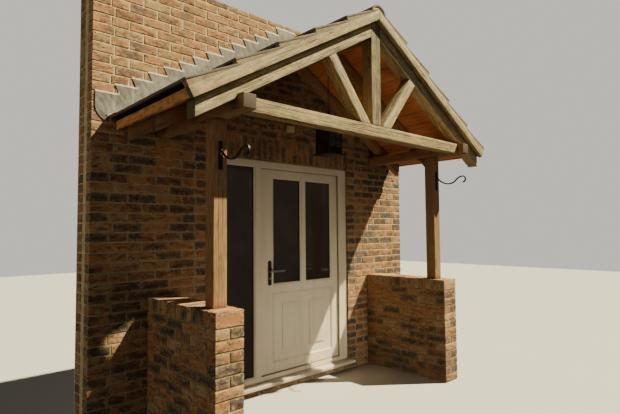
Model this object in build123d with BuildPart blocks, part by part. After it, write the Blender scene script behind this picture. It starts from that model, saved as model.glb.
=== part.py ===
from build123d import *
import os
from math import atan2, cos, radians, sin, tan

# Entrance porch of a brick house: two dwarf walls, two oak posts, a king post truss
# and a tiled roof, in front of the stretch of house wall that holds the door.
# Millimetres. X runs along the house wall, Z is up from the ground, and -Y points
# away from the house. The origin is on the ground, in the middle of the whole.

# House wall
wall_width = 3702.5
wall_height = 3590.0
wall_thickness = 300.0
doorway_half = 880.0
doorway_head = 2195.0
doorway_foot = 60.0

# Brickwork of the dwarf walls
brick_length = 215.0
brick_course = 75.0
dwarf_courses = 12
coping_height = 112.0
dwarf_inside = 1200.0
dwarf_reach = 1012.0

# Oak frame
post_size = 105.0
post_shift = 6.0
oak_arris = 3.0
post_front = 882.0
plate_width = 101.0
plate_depth = 95.0
plate_top = 2372.0
plate_reach = 1224.0
beam_front = 1162.0
truss_thickness = 100.0
beam_depth = 95.0
king_width = 112.0
strut_depth = 86.0
strut_foot = 75.0
strut_angle = 51.0
knee_leg = 115.0
knee_width = 60.0
knee_hollow = 2.0

# Roof
pitch = 30.0
rafter_depth = 100.0
rafter_foot = 1645.0
birdsmouth_seat = 43.0
common_rafter_width = 65.0
middle_rafter_front = 637.0
wall_rafter_front = 159.0
ridge_thickness = 30.0
ridge_depth = 150.0
board_thickness = 20.0
batten_height = 49.0
batten_width = 50.0
fascia_thickness = 22.0
barge_thickness = 43.0
barge_foot = 1675.0
tile_courses = 5
tile_head = 17.0
tile_tail = 54.0
tile_edge = 1735.0
ridge_tile_half = 90.0
ridge_tile_rise = 24.0

# Lead flashing
lead = 3.0
flashing_cover = 150.0
flashing_end = 1828.0
flashing_corner = 1687.0
flashing_first = 2572.0
flashing_heel_level = 2463.0
flashing_toe_level = 2354.0
flashing_turn = 21.0
flashing_lean = 35.0

# Door set
frame_setback = 20.0
frame_thickness = 70.0
frame_foot = 107.0
lip_thickness = 18.0
lip_cover = 12.0
leaf_gap = 5.0
leaf_left = -300.0
leaf_right = 761.0
leaf_foot = 150.0
leaf_head = 2125.0
leaf_thickness = 52.0
sidelight_left = -761.0
sidelight_right = -378.0
sidelight_foot = 165.0
pane_outer_left = -127.0
pane_inner_left = 216.0
pane_inner_right = 300.0
pane_outer_right = 649.0
pane_foot = 1006.0
pane_head = 2032.0
bead_width = 14.0
bead_lip = 3.0
insert_foot = 262.0
insert_head = 896.0
insert_recess = 12.0
panel_width = 260.0
panel_gap = 96.0
panel_foot = 328.0
panel_head = 826.0
panel_rise = 6.0
panel_step = 4.0
panel_bevel = 26.0
glass_thickness = 24.0
glass_seat = 10.0
sill_half = 944.0
sill_reach = 45.0
sill_front = 32.0

# Hinges and handles
hinge_pin = 8.0
hinge_height = 100.0
hinge_flag = 5.0
hinge_flag_width = 32.0
hinge_low = 330.0
hinge_middle = 1140.0
hinge_high = 1950.0
knuckle_gap = 0.5
handle_x = -182.0
handle_foot = 993.0
handle_head = 1230.0
handle_width = 34.0
handle_end_flat = 2.0
handle_thickness = 9.0
lever_level = 1129.0
lever_length = 140.0
lever_size = 18.0
lever_reach = 52.0
lever_gap = 0.3
spindle_size = 8.0
spindle_bore = 13.0

# Lantern, wall box and basket brackets
lantern_out = 604.0
lantern_foot = 2194.0
lantern_base = 206.0
lantern_body = 170.0
lantern_height = 270.0
lantern_bar = 12.0
lantern_plate = 12.0
lantern_roof = 90.0
lantern_cap = 24.0
lantern_rod = 8.0
lantern_glass_thickness = 4.0
box_x = 31.0
box_width = 99.0
box_level = 2538.0
box_height = 67.0
box_depth = 40.0
box_arris = 4.0
bracket_bar = 12.0
bracket_strap = 28.0
bracket_strap_thickness = 6.0
bracket_strap_height = 190.0
bracket_strap_drop = 47.5
bracket_level = 2073.0
bracket_dip_out = 1035.0
bracket_dip_level = 1986.0
bracket_crest_out = 1184.0
bracket_crest_level = 2052.0
bracket_curl = 30.0

# Worked out from the sizes above
face_y = (plate_reach - wall_thickness) / 2
slope = tan(radians(pitch))
rise = cos(radians(pitch))
fall = sin(radians(pitch))
wall_half = wall_width / 2
dwarf_outside = dwarf_inside + brick_length
dwarf_top = dwarf_courses * brick_course
coping_top = dwarf_top + coping_height
post_x = (dwarf_inside + dwarf_outside) / 2 - post_shift
plate_foot = plate_top - plate_depth
plate_inside = post_x - plate_width / 2
plate_outside = post_x + plate_width / 2
beam_foot = plate_top - beam_depth
rafter_apex = plate_top + slope * (plate_outside - birdsmouth_seat)
roof_apex = rafter_apex + rafter_depth / rise
cover_thickness = board_thickness + batten_height
truss_back = beam_front - truss_thickness
barge_front = beam_front + barge_thickness
leaf_front = frame_setback + lip_thickness + leaf_gap
leaf_back = leaf_front + leaf_thickness
leaf_edge_left = leaf_left - lip_cover
leaf_edge_right = leaf_right + lip_cover
leaf_edge_foot = leaf_foot - lip_cover
leaf_edge_head = leaf_head + lip_cover
frame_back = frame_setback + frame_thickness
hinge_x = leaf_edge_right + leaf_gap / 2
hinge_in = leaf_back + hinge_pin + knuckle_gap
hinge_levels = (hinge_low, hinge_middle, hinge_high)

os.makedirs("parts", exist_ok=True)


def finish(piece, name):
    """Label a finished piece and write it out."""
    piece.part.label = name
    export_step(piece.part, f"parts/{name}.step")


def facade(out):
    """A plane parallel to the house wall, so far out from its face."""
    return Plane.XZ.offset(out - face_y)


def level(height):
    """A horizontal plane at this height."""
    return Plane.XY.offset(height)


def roof_point(along, lift, side):
    """A point of the gable outline: along the slope from the ridge, lifted square to it."""
    return (side * (along * rise + lift * fall), roof_apex - along * fall + lift * rise)


def plumb(x, lift, side):
    """A point of the gable outline at this distance from the middle, lifted square to the slope."""
    return (side * x, roof_apex + lift / rise - x * slope)


def rectangle(left, right, low, high, mode=Mode.ADD):
    """A rectangle between two sides and two levels, in the open sketch."""
    with Locations(((left + right) / 2, (low + high) / 2)):
        Rectangle(right - left, high - low, mode=mode)


# House wall, split beside, over and under the doorway
for name, left, right, low, high in (
    ("house_wall_left", -wall_half, -doorway_half, 0, wall_height),
    ("house_wall_right", doorway_half, wall_half, 0, wall_height),
    ("house_wall_over_door", -doorway_half, doorway_half, doorway_head, wall_height),
    ("sill_bricks", -doorway_half, doorway_half, 0, doorway_foot),
):
    with BuildPart() as wall:
        with BuildSketch(facade(0)):
            rectangle(left, right, low, high)
        extrude(amount=-wall_thickness)
    finish(wall, name)

# Dwarf walls, their brick on edge copings, posts and side plates
for side, end in ((-1, "left"), (1, "right")):
    middle = side * (dwarf_inside + dwarf_outside) / 2
    with BuildPart() as dwarf_wall:
        with BuildSketch(level(0)):
            with Locations((middle, face_y - dwarf_reach / 2)):
                Rectangle(brick_length, dwarf_reach)
        extrude(amount=dwarf_top)
    finish(dwarf_wall, f"dwarf_wall_{end}")

    with BuildPart() as coping:
        with BuildSketch(level(dwarf_top)):
            with Locations((middle, face_y - dwarf_reach / 2)):
                Rectangle(brick_length, dwarf_reach)
        extrude(amount=coping_height)
    finish(coping, f"coping_{end}")

    with BuildPart() as post:
        with BuildSketch(level(coping_top)):
            with Locations((side * post_x, face_y - post_front + post_size / 2)):
                Rectangle(post_size, post_size)
        extrude(amount=plate_foot - coping_top)
        chamfer(post.edges().filter_by(Axis.Z), oak_arris)
    finish(post, f"post_{end}")

    with BuildPart() as side_plate:
        with BuildSketch(facade(0)):
            rectangle(
                side * post_x - plate_width / 2,
                side * post_x + plate_width / 2,
                plate_foot,
                plate_top,
            )
        extrude(amount=plate_reach)
        chamfer(side_plate.faces().sort_by(Axis.Y)[0].edges(), oak_arris)
    finish(side_plate, f"side_plate_{end}")

# Small knees between the posts and the side plates, with a hollow curved edge
with BuildPart() as knee_braces:
    knee_y = face_y - post_front + post_size
    with BuildSketch(Plane.YZ.offset(post_x - knee_width / 2)):
        with BuildLine():
            Polyline(
                (knee_y, plate_foot - knee_leg),
                (knee_y, plate_foot),
                (knee_y + knee_leg, plate_foot),
            )
            RadiusArc(
                (knee_y + knee_leg, plate_foot),
                (knee_y, plate_foot - knee_leg),
                -knee_hollow * knee_leg,
            )
        make_face()
    extrude(amount=knee_width)
    mirror(about=Plane.YZ)
finish(knee_braces, "knee_braces")

# Truss: tie beam, king post, struts and principal rafters, all flush at the front
with BuildPart() as tie_beam:
    with BuildSketch(facade(truss_back)):
        rectangle(-plate_inside, plate_inside, beam_foot, plate_top)
    extrude(amount=truss_thickness)
finish(tie_beam, "tie_beam")

with BuildPart() as king_post:
    with BuildSketch(facade(truss_back)):
        Polygon(
            (-king_width / 2, plate_top),
            (king_width / 2, plate_top),
            plumb(king_width / 2, 0, 1),
            plumb(0, 0, 1),
            plumb(king_width / 2, 0, -1),
            align=None,
        )
    extrude(amount=truss_thickness)
finish(king_post, "king_post")

strut_lean = radians(strut_angle)
strut_run = strut_depth / sin(strut_lean)


def strut_head(foot):
    """Where the edge of a strut that starts here meets the underside of the rafter."""
    climb = rafter_apex - plate_top - slope * foot
    along = climb / (tan(strut_lean) + slope)
    return (foot + along, plate_top + along * tan(strut_lean))


with BuildPart() as struts:
    with BuildSketch(facade(truss_back)):
        Polygon(
            (strut_foot, plate_top),
            (strut_foot + strut_run, plate_top),
            strut_head(strut_foot + strut_run),
            strut_head(strut_foot),
            align=None,
        )
    extrude(amount=truss_thickness)
    mirror(about=Plane.YZ)
finish(struts, "struts")


def rafter_outline(side, head):
    """Rafter from its head at this distance from the middle to a plumb foot, with a birdsmouth."""
    Polygon(
        plumb(head, 0, side),
        plumb(rafter_foot, 0, side),
        plumb(rafter_foot, -rafter_depth, side),
        plumb(plate_outside, -rafter_depth, side),
        (side * plate_outside, plate_top),
        (side * (plate_outside - birdsmouth_seat), plate_top),
        plumb(head, -rafter_depth, side),
        align=None,
    )


for side, end in ((-1, "left"), (1, "right")):
    with BuildPart() as front_rafter:
        with BuildSketch(facade(truss_back)):
            rafter_outline(side, king_width / 2)
        extrude(amount=truss_thickness)
    finish(front_rafter, f"front_rafter_{end}")

for name, front in (("middle_rafters", middle_rafter_front), ("wall_rafters", wall_rafter_front)):
    with BuildPart() as rafters:
        for side in (-1, 1):
            with BuildSketch(facade(front - common_rafter_width)):
                rafter_outline(side, ridge_thickness / 2)
            extrude(amount=common_rafter_width)
    finish(rafters, name)

with BuildPart() as ridge_board:
    ridge_top = plumb(ridge_thickness / 2, 0, 1)[1]
    with BuildSketch(facade(0)):
        rectangle(-ridge_thickness / 2, ridge_thickness / 2, ridge_top - ridge_depth, ridge_top)
    extrude(amount=truss_back)
finish(ridge_board, "ridge_board")


def cover_outline(side, foot, low, high):
    """A layer on the rafters, from the ridge to a plumb foot, between two lifts."""
    Polygon(
        plumb(0, low, side),
        plumb(foot, low, side),
        plumb(foot, high, side),
        plumb(0, high, side),
        align=None,
    )


fascia_back = barge_foot - fascia_thickness
eaves_level = plumb(fascia_back, 0, 1)[1]
tile_run = (tile_edge - (cover_thickness + tile_tail) * fall) / rise
tile_gauge = tile_run / tile_courses


def tile_steps(side, lift):
    """The stepped upper line of the tiles, from the ridge down, or a line that covers it evenly."""
    points = [(0, roof_apex + (cover_thickness + tile_head + lift) / rise)]
    for course in range(1, tile_courses + 1):
        along = course * tile_gauge + lift
        points.append(roof_point(along, cover_thickness + tile_tail + lift, side))
        if course < tile_courses:
            points.append(roof_point(along, cover_thickness + tile_head + lift, side))
    return points


top_line = tile_steps(1, 0)
tile_fall = (top_line[0][1] - top_line[1][1]) / top_line[1][0]
ridge_seat = top_line[0][1] - tile_fall * ridge_tile_half


def flashing_steps(side):
    """The stepped upper edge of the flashing, a brick course a step, its risers cut leaning out."""
    edge = flashing_corner
    top = flashing_first
    points = [(side * flashing_end, flashing_heel_level), (side * flashing_end, top)]
    while edge > flashing_lean:
        points.append((side * (edge - flashing_lean), top))
        top += brick_course
        points.append((side * edge, top))
        edge -= brick_course / slope
    points.append((0, top))
    return points


def flashing_toe(side):
    """The lowest point of the lead, just past the end of the tiles."""
    return (side * (tile_edge + flashing_turn), flashing_toe_level)


def flashing_heel(side):
    """The middle of the rounded outer corner of the lead."""
    return (
        side * (flashing_end - flashing_turn),
        (flashing_toe_level + flashing_heel_level) / 2 - flashing_turn / 2,
    )


for side, end in ((-1, "left"), (1, "right")):
    with BuildPart() as soffit_boards:
        with BuildSketch(facade(0)):
            cover_outline(side, fascia_back, 0, board_thickness)
        extrude(amount=beam_front)
    finish(soffit_boards, f"soffit_boards_{end}")

    with BuildPart() as bargeboard:
        barge_run = barge_foot / rise
        with BuildSketch(facade(beam_front)):
            Polygon(
                plumb(0, 0, side),
                roof_point(barge_run, 0, side),
                roof_point(barge_run, cover_thickness, side),
                plumb(0, cover_thickness, side),
                align=None,
            )
        extrude(amount=barge_thickness)
    finish(bargeboard, f"bargeboard_{end}")

    with BuildPart() as roof_tiles:
        with BuildSketch(facade(0)):
            Polygon(
                *tile_steps(side, 0),
                roof_point(tile_run, cover_thickness, side),
                plumb(0, cover_thickness, side),
                align=None,
            )
        extrude(amount=barge_front)
    finish(roof_tiles, f"roof_tiles_{end}")

    with BuildPart() as flashing:
        with BuildSketch(facade(0)):
            Polygon(
                (side * ridge_tile_half, ridge_seat),
                *tile_steps(side, 0)[1:],
                *reversed(tile_steps(side, lead)[1:]),
                (side * ridge_tile_half, ridge_seat + lead / rise),
                align=None,
            )
        extrude(amount=flashing_cover)
        with BuildSketch(facade(0)):
            with BuildLine():
                Polyline(*flashing_steps(side), *tile_steps(side, 0), flashing_toe(side))
                ThreePointArc(flashing_toe(side), flashing_heel(side), flashing_steps(side)[0])
            make_face()
        extrude(amount=lead)
    finish(flashing, f"flashing_{end}")

# Battens that carry the tiles, closed in by the fascias at the eaves
with BuildPart() as tile_battens:
    for side in (-1, 1):
        with BuildSketch(facade(0)):
            for course in range(1, tile_courses):
                Polygon(
                    roof_point(course * tile_gauge, board_thickness, side),
                    roof_point(course * tile_gauge + batten_width, board_thickness, side),
                    roof_point(course * tile_gauge + batten_width, cover_thickness, side),
                    roof_point(course * tile_gauge, cover_thickness, side),
                    align=None,
                )
        extrude(amount=beam_front)
finish(tile_battens, "tile_battens")

with BuildPart() as fascias:
    for side in (-1, 1):
        with BuildSketch(facade(0)):
            Polygon(
                (side * fascia_back, eaves_level),
                (side * barge_foot, eaves_level),
                plumb(barge_foot, cover_thickness, side),
                plumb(fascia_back, cover_thickness, side),
                align=None,
            )
        extrude(amount=beam_front)
finish(fascias, "fascias")

# Ridge tiles bedded over the top courses
with BuildPart() as ridge_tiles:
    with BuildSketch(facade(lead)):
        with BuildLine():
            ThreePointArc(
                (-ridge_tile_half, ridge_seat),
                (0, top_line[0][1] + ridge_tile_rise),
                (ridge_tile_half, ridge_seat),
            )
            Polyline(
                (ridge_tile_half, ridge_seat),
                top_line[0],
                (-ridge_tile_half, ridge_seat),
            )
        make_face()
    extrude(amount=barge_front - lead)
finish(ridge_tiles, "ridge_tiles")

# Door set: one frame round the sidelight and the leaf, with beads that slope to the glass
sidelight_front = frame_setback + lip_thickness
with BuildPart() as door_frame:
    with BuildSketch(facade(-frame_setback)):
        rectangle(-doorway_half, doorway_half, frame_foot, doorway_head)
        rectangle(leaf_left, leaf_right, leaf_foot, leaf_head, Mode.SUBTRACT)
        rectangle(sidelight_left, sidelight_right, sidelight_foot, leaf_head, Mode.SUBTRACT)
    extrude(amount=-frame_thickness)
    with BuildSketch(facade(-sidelight_front)):
        rectangle(
            leaf_edge_left - leaf_gap,
            leaf_edge_right + leaf_gap,
            leaf_edge_foot - leaf_gap,
            leaf_edge_head + leaf_gap,
        )
    extrude(amount=lip_thickness - frame_thickness, mode=Mode.SUBTRACT)
    with BuildSketch(facade(-sidelight_front)):
        rectangle(
            sidelight_left - glass_seat,
            sidelight_right + glass_seat,
            sidelight_foot - glass_seat,
            leaf_head + glass_seat,
        )
    extrude(amount=-glass_thickness, mode=Mode.SUBTRACT)
    for face_at, lip_at in (
        (frame_setback, sidelight_front - bead_lip),
        (frame_back, sidelight_front + glass_thickness + bead_lip),
    ):
        with BuildSketch(facade(-face_at)):
            rectangle(
                sidelight_left - bead_width,
                sidelight_right + bead_width,
                sidelight_foot - bead_width,
                leaf_head + bead_width,
            )
        with BuildSketch(facade(-lip_at)):
            rectangle(sidelight_left, sidelight_right, sidelight_foot, leaf_head)
        loft(mode=Mode.SUBTRACT)
finish(door_frame, "door_frame")

with BuildPart() as sidelight_glass:
    with BuildSketch(facade(-sidelight_front)):
        rectangle(
            sidelight_left - glass_seat,
            sidelight_right + glass_seat,
            sidelight_foot - glass_seat,
            leaf_head + glass_seat,
        )
    extrude(amount=-glass_thickness)
finish(sidelight_glass, "sidelight_glass")

with BuildPart() as door_sill:
    with BuildSketch(Plane.YZ.offset(-sill_half)):
        Polygon(
            (face_y + frame_back, doorway_foot),
            (face_y + frame_back, frame_foot),
            (face_y + frame_setback, frame_foot),
            (face_y - sill_reach, doorway_foot + sill_front),
            (face_y - sill_reach, doorway_foot),
            align=None,
        )
    extrude(amount=2 * sill_half)
    with BuildSketch(facade(0)):
        rectangle(-sill_half, -doorway_half, doorway_foot, frame_foot)
        rectangle(doorway_half, sill_half, doorway_foot, frame_foot)
    extrude(amount=-frame_back, mode=Mode.SUBTRACT)
finish(door_sill, "door_sill")

# Door leaf: two panes over a beaded insert with two raised panels, bevelled and stepped,
# the same on both faces
pane_bounds = ((pane_outer_left, pane_inner_left), (pane_inner_right, pane_outer_right))
insert_middle = (pane_outer_left + pane_outer_right) / 2
panel_bounds = (
    (insert_middle - panel_gap / 2 - panel_width, insert_middle - panel_gap / 2),
    (insert_middle + panel_gap / 2, insert_middle + panel_gap / 2 + panel_width),
)
glass_front = leaf_front + (leaf_thickness - glass_thickness) / 2
bead_depth = glass_front - leaf_front - bead_lip
with BuildPart() as door_leaf:
    with BuildSketch(facade(-leaf_front)):
        rectangle(leaf_edge_left, leaf_edge_right, leaf_edge_foot, leaf_edge_head)
        for left, right in pane_bounds:
            rectangle(left, right, pane_foot, pane_head, Mode.SUBTRACT)
    extrude(amount=-leaf_thickness)
    with BuildSketch(facade(-glass_front)):
        for left, right in pane_bounds:
            rectangle(
                left - glass_seat, right + glass_seat, pane_foot - glass_seat, pane_head + glass_seat
            )
    extrude(amount=-glass_thickness, mode=Mode.SUBTRACT)
    for face_at, inward in ((leaf_front, -1), (leaf_back, 1)):
        for left, right in pane_bounds:
            with BuildSketch(facade(-face_at)):
                rectangle(
                    left - bead_width, right + bead_width, pane_foot - bead_width, pane_head + bead_width
                )
            with BuildSketch(facade(-face_at + inward * bead_depth)):
                rectangle(left, right, pane_foot, pane_head)
            loft(mode=Mode.SUBTRACT)
        with BuildSketch(facade(-face_at)):
            rectangle(
                pane_outer_left - bead_width,
                pane_outer_right + bead_width,
                insert_foot - bead_width,
                insert_head + bead_width,
            )
        with BuildSketch(facade(-face_at + inward * insert_recess)):
            rectangle(pane_outer_left, pane_outer_right, insert_foot, insert_head)
        loft(mode=Mode.SUBTRACT)
        for left, right in panel_bounds:
            with BuildSketch(facade(-face_at + inward * insert_recess)):
                rectangle(left, right, panel_foot, panel_head)
            with BuildSketch(facade(-face_at + inward * (insert_recess - panel_rise))):
                rectangle(
                    left + panel_bevel,
                    right - panel_bevel,
                    panel_foot + panel_bevel,
                    panel_head - panel_bevel,
                )
            loft()
            with BuildSketch(facade(-face_at + inward * (insert_recess - panel_rise))):
                rectangle(
                    left + panel_bevel,
                    right - panel_bevel,
                    panel_foot + panel_bevel,
                    panel_head - panel_bevel,
                )
            extrude(amount=-inward * panel_step)
    with BuildSketch(facade(-leaf_front)):
        with Locations((handle_x, lever_level)):
            Circle(spindle_bore / 2)
    extrude(amount=-leaf_thickness, mode=Mode.SUBTRACT)
finish(door_leaf, "door_leaf")

with BuildPart() as leaf_panes:
    with BuildSketch(facade(-glass_front)):
        for left, right in pane_bounds:
            rectangle(
                left - glass_seat, right + glass_seat, pane_foot - glass_seat, pane_head + glass_seat
            )
    extrude(amount=-glass_thickness)
finish(leaf_panes, "leaf_panes")

# Handle plates on both faces, and the levers on their spindle
with BuildPart() as handle_plates:
    for face_at, outward in ((leaf_front, 1), (leaf_back, -1)):
        with BuildSketch(facade(-face_at)):
            with Locations((handle_x, (handle_foot + handle_head) / 2)):
                RectangleRounded(
                    handle_width,
                    handle_head - handle_foot,
                    (handle_width - handle_end_flat) / 2,
                )
            with Locations((handle_x, lever_level)):
                Circle(spindle_bore / 2, mode=Mode.SUBTRACT)
        extrude(amount=outward * handle_thickness)
finish(handle_plates, "handle_plates")

with BuildPart() as door_levers:
    outer_start = -leaf_front + handle_thickness + lever_gap
    inner_start = -leaf_back - handle_thickness - lever_gap
    with BuildSketch(facade(inner_start)):
        with Locations((handle_x, lever_level)):
            Circle(spindle_size / 2)
    extrude(amount=outer_start - inner_start)
    for start, outward in ((outer_start, 1), (inner_start, -1)):
        with BuildSketch(facade(start)):
            with Locations((handle_x, lever_level)):
                Circle(lever_size / 2)
        extrude(amount=outward * lever_reach)
        with BuildSketch(facade(start + outward * (lever_reach - lever_size))):
            with Locations((handle_x + lever_length / 2, lever_level)):
                SlotCenterToCenter(lever_length, lever_size)
        extrude(amount=outward * lever_size)
finish(door_levers, "door_levers")

# Hinges: a flag and a lower knuckle on the frame, a flag and an upper knuckle on the leaf
with BuildPart() as frame_hinges:
    for middle_level in hinge_levels:
        low = middle_level - hinge_height / 2
        high = middle_level - knuckle_gap / 2
        with BuildSketch(level(low)):
            with Locations((hinge_x, face_y + hinge_in)):
                Circle(hinge_pin)
            with Locations((hinge_x + hinge_flag_width / 2, face_y + (frame_back + hinge_in) / 2)):
                Rectangle(hinge_flag_width, hinge_in - frame_back)
        extrude(amount=high - low)
finish(frame_hinges, "frame_hinges")

with BuildPart() as leaf_hinges:
    for middle_level in hinge_levels:
        low = middle_level + knuckle_gap / 2
        high = middle_level + hinge_height / 2
        with BuildSketch(level(low)):
            with Locations((hinge_x, face_y + hinge_in)):
                Circle(hinge_pin)
            with Locations((hinge_x - hinge_flag_width / 2, face_y + (leaf_back + hinge_in) / 2)):
                Rectangle(hinge_flag_width, hinge_in - leaf_back)
        extrude(amount=high - low)
finish(leaf_hinges, "leaf_hinges")

# Lantern under the ridge: a square cage with four panes and a pyramid roof, on a hanging rod
lantern_middle = (0, face_y - lantern_out)
cage_foot = lantern_foot + lantern_plate
cage_head = cage_foot + lantern_height
lantern_peak = cage_head + lantern_plate + lantern_roof
corner_step = lantern_body - lantern_bar
with BuildPart() as lantern:
    with BuildSketch(level(lantern_foot)):
        with Locations(lantern_middle):
            Rectangle(lantern_base, lantern_base)
    extrude(amount=lantern_plate)
    with BuildSketch(level(cage_foot)):
        with Locations(lantern_middle):
            with GridLocations(corner_step, corner_step, 2, 2):
                Rectangle(lantern_bar, lantern_bar)
    extrude(amount=lantern_height)
    with BuildSketch(level(cage_head)):
        with Locations(lantern_middle):
            Rectangle(lantern_base, lantern_base)
    extrude(amount=lantern_plate)
    with BuildSketch(level(cage_head + lantern_plate)):
        with Locations(lantern_middle):
            Rectangle(lantern_body, lantern_body)
    with BuildSketch(level(lantern_peak)):
        with Locations(lantern_middle):
            Rectangle(lantern_cap, lantern_cap)
    loft()
    with BuildSketch(level(lantern_peak)):
        with Locations(lantern_middle):
            Circle(lantern_rod / 2)
    extrude(amount=ridge_top - ridge_depth - lantern_peak)
finish(lantern, "lantern")

with BuildPart() as lantern_glass:
    pane_width = lantern_body - 2 * lantern_bar
    with BuildSketch(level(cage_foot)):
        with Locations(lantern_middle):
            with GridLocations(0, corner_step, 1, 2):
                Rectangle(pane_width, lantern_glass_thickness)
            with GridLocations(corner_step, 0, 2, 1):
                Rectangle(lantern_glass_thickness, pane_width)
    extrude(amount=lantern_height)
finish(lantern_glass, "lantern_glass")

# Small box on the wall over the door
with BuildPart() as wall_box:
    with BuildSketch(facade(0)):
        with Locations((box_x, box_level)):
            Rectangle(box_width, box_height)
    extrude(amount=box_depth)
    chamfer(wall_box.faces().sort_by(Axis.Y)[0].edges(), box_arris)
finish(wall_box, "wall_box")

# Wrought iron basket brackets: a strap on the post and a square bar bent to an S with a curled
# tip, trimmed flush with the back of the strap
with BuildPart() as basket_brackets:
    strap_front = face_y - post_front - bracket_strap_thickness
    start = (strap_front, bracket_level)
    dip = (face_y - bracket_dip_out, bracket_dip_level)
    crest = (face_y - bracket_crest_out, bracket_crest_level)
    half_way = ((dip[0] + crest[0]) / 2, (dip[1] + crest[1]) / 2)
    drop_angle = 2 * atan2(dip[1] - start[1], start[0] - dip[0])
    climb_angle = 2 * atan2(crest[1] - dip[1], dip[0] - crest[0])
    with BuildSketch(facade(post_front)):
        with Locations((post_x, bracket_level - bracket_strap_drop)):
            Rectangle(bracket_strap, bracket_strap_height)
    extrude(amount=bracket_strap_thickness)
    with BuildLine(Plane.YZ) as bar:
        TangentArc(start, dip, tangent=(-cos(drop_angle), sin(drop_angle)))
        TangentArc(dip, half_way, tangent=(-1, 0))
        TangentArc(half_way, crest, tangent=(-cos(climb_angle), sin(climb_angle)))
        RadiusArc(
            crest,
            (crest[0] - bracket_curl, crest[1] - bracket_curl),
            -bracket_curl,
        )
        TangentArc(
            (crest[0] - bracket_curl, crest[1] - bracket_curl),
            (crest[0], crest[1] - 2 * bracket_curl),
            tangent=(0, -1),
        )
    bar_path = Pos(post_x, 0, 0) * bar.line
    with BuildSketch(Plane(origin=bar_path @ 0, z_dir=bar_path % 0)):
        Rectangle(bracket_bar, bracket_bar)
    sweep(path=bar_path)
    split(bisect_by=facade(post_front), keep=Keep.TOP)
    mirror(about=Plane.YZ)
finish(basket_brackets, "basket_brackets")
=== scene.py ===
"""Looks of a brick entrance porch with an oak truss, a tiled roof and a half glazed door."""
import math

import bmesh
import bpy
import numpy as np
from bpy.props import FloatProperty, FloatVectorProperty, IntProperty, PointerProperty
from mathutils import Matrix, Vector, noise


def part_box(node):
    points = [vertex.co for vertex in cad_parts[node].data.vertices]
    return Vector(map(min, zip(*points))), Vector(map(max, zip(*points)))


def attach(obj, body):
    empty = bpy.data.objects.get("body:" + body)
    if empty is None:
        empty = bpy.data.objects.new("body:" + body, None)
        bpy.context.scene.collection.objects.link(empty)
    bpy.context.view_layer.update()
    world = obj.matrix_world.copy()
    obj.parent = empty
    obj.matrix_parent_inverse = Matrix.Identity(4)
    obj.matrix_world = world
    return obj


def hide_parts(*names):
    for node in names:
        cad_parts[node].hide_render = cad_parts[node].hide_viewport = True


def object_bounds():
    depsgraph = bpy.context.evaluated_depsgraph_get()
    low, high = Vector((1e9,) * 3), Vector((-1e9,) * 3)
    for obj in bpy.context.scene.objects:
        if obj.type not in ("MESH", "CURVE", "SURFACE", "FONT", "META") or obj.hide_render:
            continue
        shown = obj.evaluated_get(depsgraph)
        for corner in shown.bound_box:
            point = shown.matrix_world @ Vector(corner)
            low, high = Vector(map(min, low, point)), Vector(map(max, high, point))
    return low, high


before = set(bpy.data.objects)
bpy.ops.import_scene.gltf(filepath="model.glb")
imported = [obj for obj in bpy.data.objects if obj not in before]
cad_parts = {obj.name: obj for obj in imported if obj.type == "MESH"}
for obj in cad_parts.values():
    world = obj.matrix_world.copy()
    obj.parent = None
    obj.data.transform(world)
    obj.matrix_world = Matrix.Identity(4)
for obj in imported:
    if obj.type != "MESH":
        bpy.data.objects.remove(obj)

bl_info = {
    "name": "Entrance porch looks",
    "version": (1, 0, 0),
    "blender": (4, 5, 0),
    "location": "3D View > Sidebar > Porch",
    "description": "Brick, oak, tile, lead and door finishes for the packed entrance porch",
    "category": "Object",
}

CAD_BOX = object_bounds()
WALL_LOW, WALL_HIGH = CAD_BOX
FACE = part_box("wall_box")[1].y
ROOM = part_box("house_wall_left")[1].y
DOOR_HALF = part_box("house_wall_right")[0].x
DOOR_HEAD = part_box("house_wall_over_door")[0].z
DOOR_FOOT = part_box("sill_bricks")[1].z
PITCH, STRUT_RISE = math.radians(30), math.radians(51)
FALL, RISE, SLOPE = math.cos(PITCH), math.sin(PITCH), math.tan(PITCH)
BOARD = 0.020
ROOF_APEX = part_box("soffit_boards_left")[1].z - BOARD / FALL
COVER = 0.069  # boards and battens together, under the tiles
TILE_HEAD, TILE_TAIL, TILE_COURSES = 0.017, 0.054, 5
TILE_ARRIS, TILE_UNEVENNESS = 0.004, 0.0012
TILE_GAP, TILE_LIP, NARROWEST_TILE = 0.0012, 0.0015, 0.06
RIDGE_TILES, RIDGE_JOINT, RIDGE_SHELL = 3, 0.010, 0.014
LEAD_CORNER, LEAD_LAPS, LEAD_MARGIN = 1.687, 14, 0.0025
LEAD_HIGHLIGHT = 0.009  # band along the top edges painted as a highlight
SKIM = 0.012  # plaster
SHORTEST_BRICK, SLIVER = 0.06, 0.004
WALL_ARRIS, LOW_WALL_ARRIS = 0.0026, 0.0030
SOLDIERS, COPING_BRICKS = 24, 13
RIM = 0.012  # stretch of a brick's face that joint mortar smears
HAIR = 0.001  # by which hidden faces are kept apart
PLANKS, PLANK_GAP, PLANK_ARRIS = 12, 0.0025, 0.002
CRACK_MARGIN, CRACK_SWAY, OAK_SWELL = 0.003, 0.006, 0.0012
SUNLIGHT = (-0.651, 0.515, -1.0)
GLASS_SEAT, LIP_COVER = 0.010, 0.012
INSERT_LEVELS = (0.262, 0.896)
LANTERN_PLATE, LANTERN_ROOF = 0.012, 0.090
X_AXIS, Y_AXIS, Z_AXIS = Vector((1, 0, 0)), Vector((0, 1, 0)), Vector((0, 0, 1))
SIDES = ((-1, "left", 0), (1, "right", 1))
LAID, UPRIGHT, ENDWAYS = (0, 2, 1), (2, 0, 1), (1, 2, 0)  # long, upright and deep axis of a block
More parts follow.
